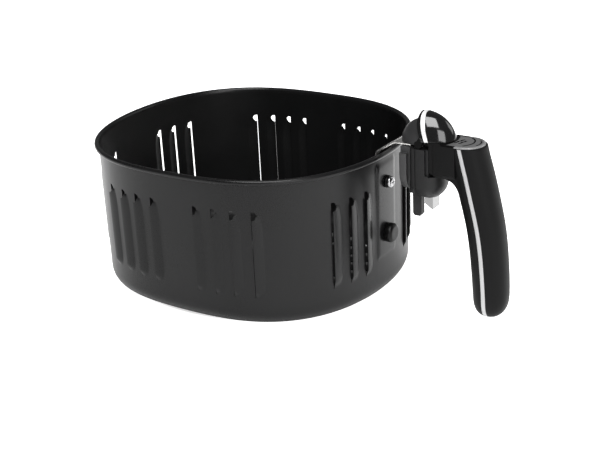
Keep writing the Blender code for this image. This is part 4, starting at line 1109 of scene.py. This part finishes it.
sp = lathe("spacer_ring", [(2.1, 0.3), (3.6, 0.3), (3.85, 0.38), (4.0, 0.6), (4.0, 1.5), (3.85, 1.72), (3.6, 1.8), (2.1, 1.8),
                           (2.1, 0.3)], (WALL_X, 0, SCREW_Z), 'x', M_RUBBER, 64)
finish(sp, "screw_spacer", "basket")
prof = [(0, -3.6), (4.4, -3.6), (4.85, -3.4), (5.0, -3.0), (5.0, -1.9), (4.6, -1.4), (3.0, -1.4), (3.0, 0.3), (5.7, 0.3),
        (6.05, 0.42), (6.2, 0.75), (6.2, 3.1)]
for k in range(1, 12):
    t = math.pi / 2 * k / 11
    prof.append((4.0 + 2.2 * math.cos(t), 3.1 + 2.2 * math.sin(t)))
prof += [(2.6, 5.36), (1.2, 5.3), (0, 5.28)]
finish(lathe("stop_plug", prof, (WALL_X, 0, PLUG_Z), 'x', M_RUBBER, 72), "rubber_bumper", "basket")

# pieces that keep their CAD mesh; the lever and the hook get rounded edges
LOOK = {"cover_pin_near": M_ZINC, "cover_pin_far": M_ZINC, "button_spring": M_ZINC, "latch_lever": M_GREY,
        "latch_pin": M_ZINC, "latch_spring": M_ZINC, "latch_hook": M_FOLD}
for n, m in LOOK.items():
    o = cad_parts[n]
    if not o.data.materials:
        o.data.materials.append(m)
    for sl in o.material_slots:
        sl.material = m
soften(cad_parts["latch_lever"], 0.3, 3, 35)
soften(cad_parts["latch_hook"], 0.22, 3, 35)

# ---------------------------------------------------------------- camera
AZ, EL, DIST, FPX, CX, CY, ROLL = 0.6214, 0.3665, 869.295, 1298.469, 256.852, 202.235, -0.0613
back = Vector((math.sin(AZ) * math.cos(EL), -math.cos(AZ) * math.cos(EL), math.sin(EL)))
right = (-back).cross(Vector((0, 0, 1))).normalized()
up = right.cross(-back)
r2 = right * math.cos(ROLL) + up * math.sin(ROLL)
u2 = -right * math.sin(ROLL) + up * math.cos(ROLL)
cam = bpy.data.cameras.new("camera")
cam.sensor_fit = 'HORIZONTAL'
cam.sensor_width = 36.0
cam.lens = FPX / 600.0 * 36.0
cam.shift_x = (300.0 - CX) / 600.0
cam.shift_y = (CY - 225.0) / 600.0
cam.clip_start, cam.clip_end = 0.01, 50
cam_ob = bpy.data.objects.new("camera", cam)
scene.collection.objects.link(cam_ob)
loc = (Vector((0, 0, 45)) + back * DIST) * MM
cam_ob.matrix_world = Matrix(((r2.x, u2.x, back.x, loc.x), (r2.y, u2.y, back.y, loc.y),
                              (r2.z, u2.z, back.z, loc.z), (0, 0, 0, 1)))
scene.camera = cam_ob


# ---------------------------------------------------------------- floor and light
def panel(name, d, u, v, dist, su, sv, rad, at=(0.136, -0.006, 0.116)):
    """Soft box seen from the handle along d; u and v are its rough sideways directions."""
    d = Vector(d).normalized()
    u = (Vector(u) - d * Vector(u).dot(d)).normalized()
    v = (Vector(v) - d * Vector(v).dot(d)).normalized()
    s, t = (u + v).normalized(), (u - v).normalized()
    t = (t - s * s.dot(t)).normalized()
    x, y = (s + t).normalized(), (s - t).normalized()
    if x.cross(y).dot(d) < 0:
        y = -y
    L = bpy.data.lights.new(name, 'AREA')
    L.shape = 'RECTANGLE'
    L.size, L.size_y = su * dist, sv * dist
    L.energy = rad * math.pi * su * dist * sv * dist
    ob = bpy.data.objects.new(name, L)
    loc = Vector(at) + d * dist
    ob.matrix_world = Matrix(((x.x, y.x, d.x, loc.x), (x.y, y.y, d.y, loc.y), (x.z, y.z, d.z, loc.z), (0, 0, 0, 1)))
    ob.visible_camera = False
    scene.collection.objects.link(ob)
    return ob


panel("soft_top", (0.09, -0.40, 0.88), (0.47, 0.40, 0.05), (0.20, -0.82, -0.28), 1.3, 0.70, 0.80, 9.0)
panel("soft_side", (0.66, -0.60, 0.30), (0.385, 0.485, 0.0), (0.0, -0.365, -0.675), 1.2, 0.50, 0.60, 5.0)
panel("soft_back", (0.55, 0.75, 0.38), (0.8, -0.55, 0.0), (-0.2, -0.3, 0.9), 1.5, 0.50, 0.42, 2.2)

world = bpy.data.worlds.new("studio")
scene.world = world
world.use_nodes = True
bg = world.node_tree.nodes["Background"]
bg.inputs["Color"].default_value = (1, 1, 1, 1)
wt = world.node_tree
lp = wt.nodes.new("ShaderNodeLightPath")
lvl = wt.nodes.new("ShaderNodeMapRange")          # plain white to the camera, dim to the part
lvl.inputs["To Min"].default_value = 0.20
lvl.inputs["To Max"].default_value = 1.05
wt.links.new(lp.outputs["Is Camera Ray"], lvl.inputs["Value"])
wt.links.new(lvl.outputs["Result"], bg.inputs["Strength"])

bm = bmesh.new()
bmesh.ops.create_grid(bm, x_segments=8, y_segments=8, size=4.0)
fm = bpy.data.meshes.new("floor")
bm.to_mesh(fm)
bm.free()
floor = bpy.data.objects.new("floor", fm)
floor.location = (0, 0, -0.0004)
scene.collection.objects.link(floor)
k = Mat("floor_paper", (0.86, 0.86, 0.86), 0.9, spec=0.1)
k.b.inputs["Emission Color"].default_value = (1, 1, 1, 1)
sep = k.node("ShaderNodeSeparateXYZ")
k.nt.links.new(k.tc.outputs["Object"], sep.inputs["Vector"])
fx, fy = sep.outputs["X"], sep.outputs["Y"]
rad = k.math('SQRT', k.math('ADD', k.math('MULTIPLY', fx, fx), k.math('MULTIPLY', fy, fy)))
# Painted light: the floor glows, brighter towards the back right and to the left, to light the basket's reflections.
away = k.range(k.math('ADD', k.math('MULTIPLY', fx, 0.6), k.math('MULTIPLY', fy, 0.8)), 0.0, 1.0, -0.12, 0.26)
left = k.range(fx, 0.0, 0.7, -0.13, -0.30)
# Painted shade: this glow fades out under and round the basket.
under = k.range(rad, 0.0, 1.0, 0.090, 0.135)
seen = k.node("ShaderNodeLightPath").outputs["Is Camera Ray"]
# The camera sees the floor glow plain white, fading to no glow under the basket: painted shadow.
paper = k.range(rad, 0.0, 1.15, 0.076, 0.087)
# Painted shadow: the floor colour turns dark grey under the basket's footprint.
k.set("Base Color", k.mix(k.range(rad, 0.0, 1.0, 0.076, 0.086), (0.05, 0.05, 0.05), (0.86, 0.86, 0.86)))
glow = k.math('MULTIPLY', k.math('ADD', k.math('ADD', away, left), 0.42), under)
k.set("Emission Strength", k.math('ADD', glow, k.math('MULTIPLY', seen, k.math('SUBTRACT', paper, glow))))
k.bump(k.noise(0.4, 3.0), 0.02)
fm.materials.append(k.m)
scene.view_settings.view_transform = 'Standard'
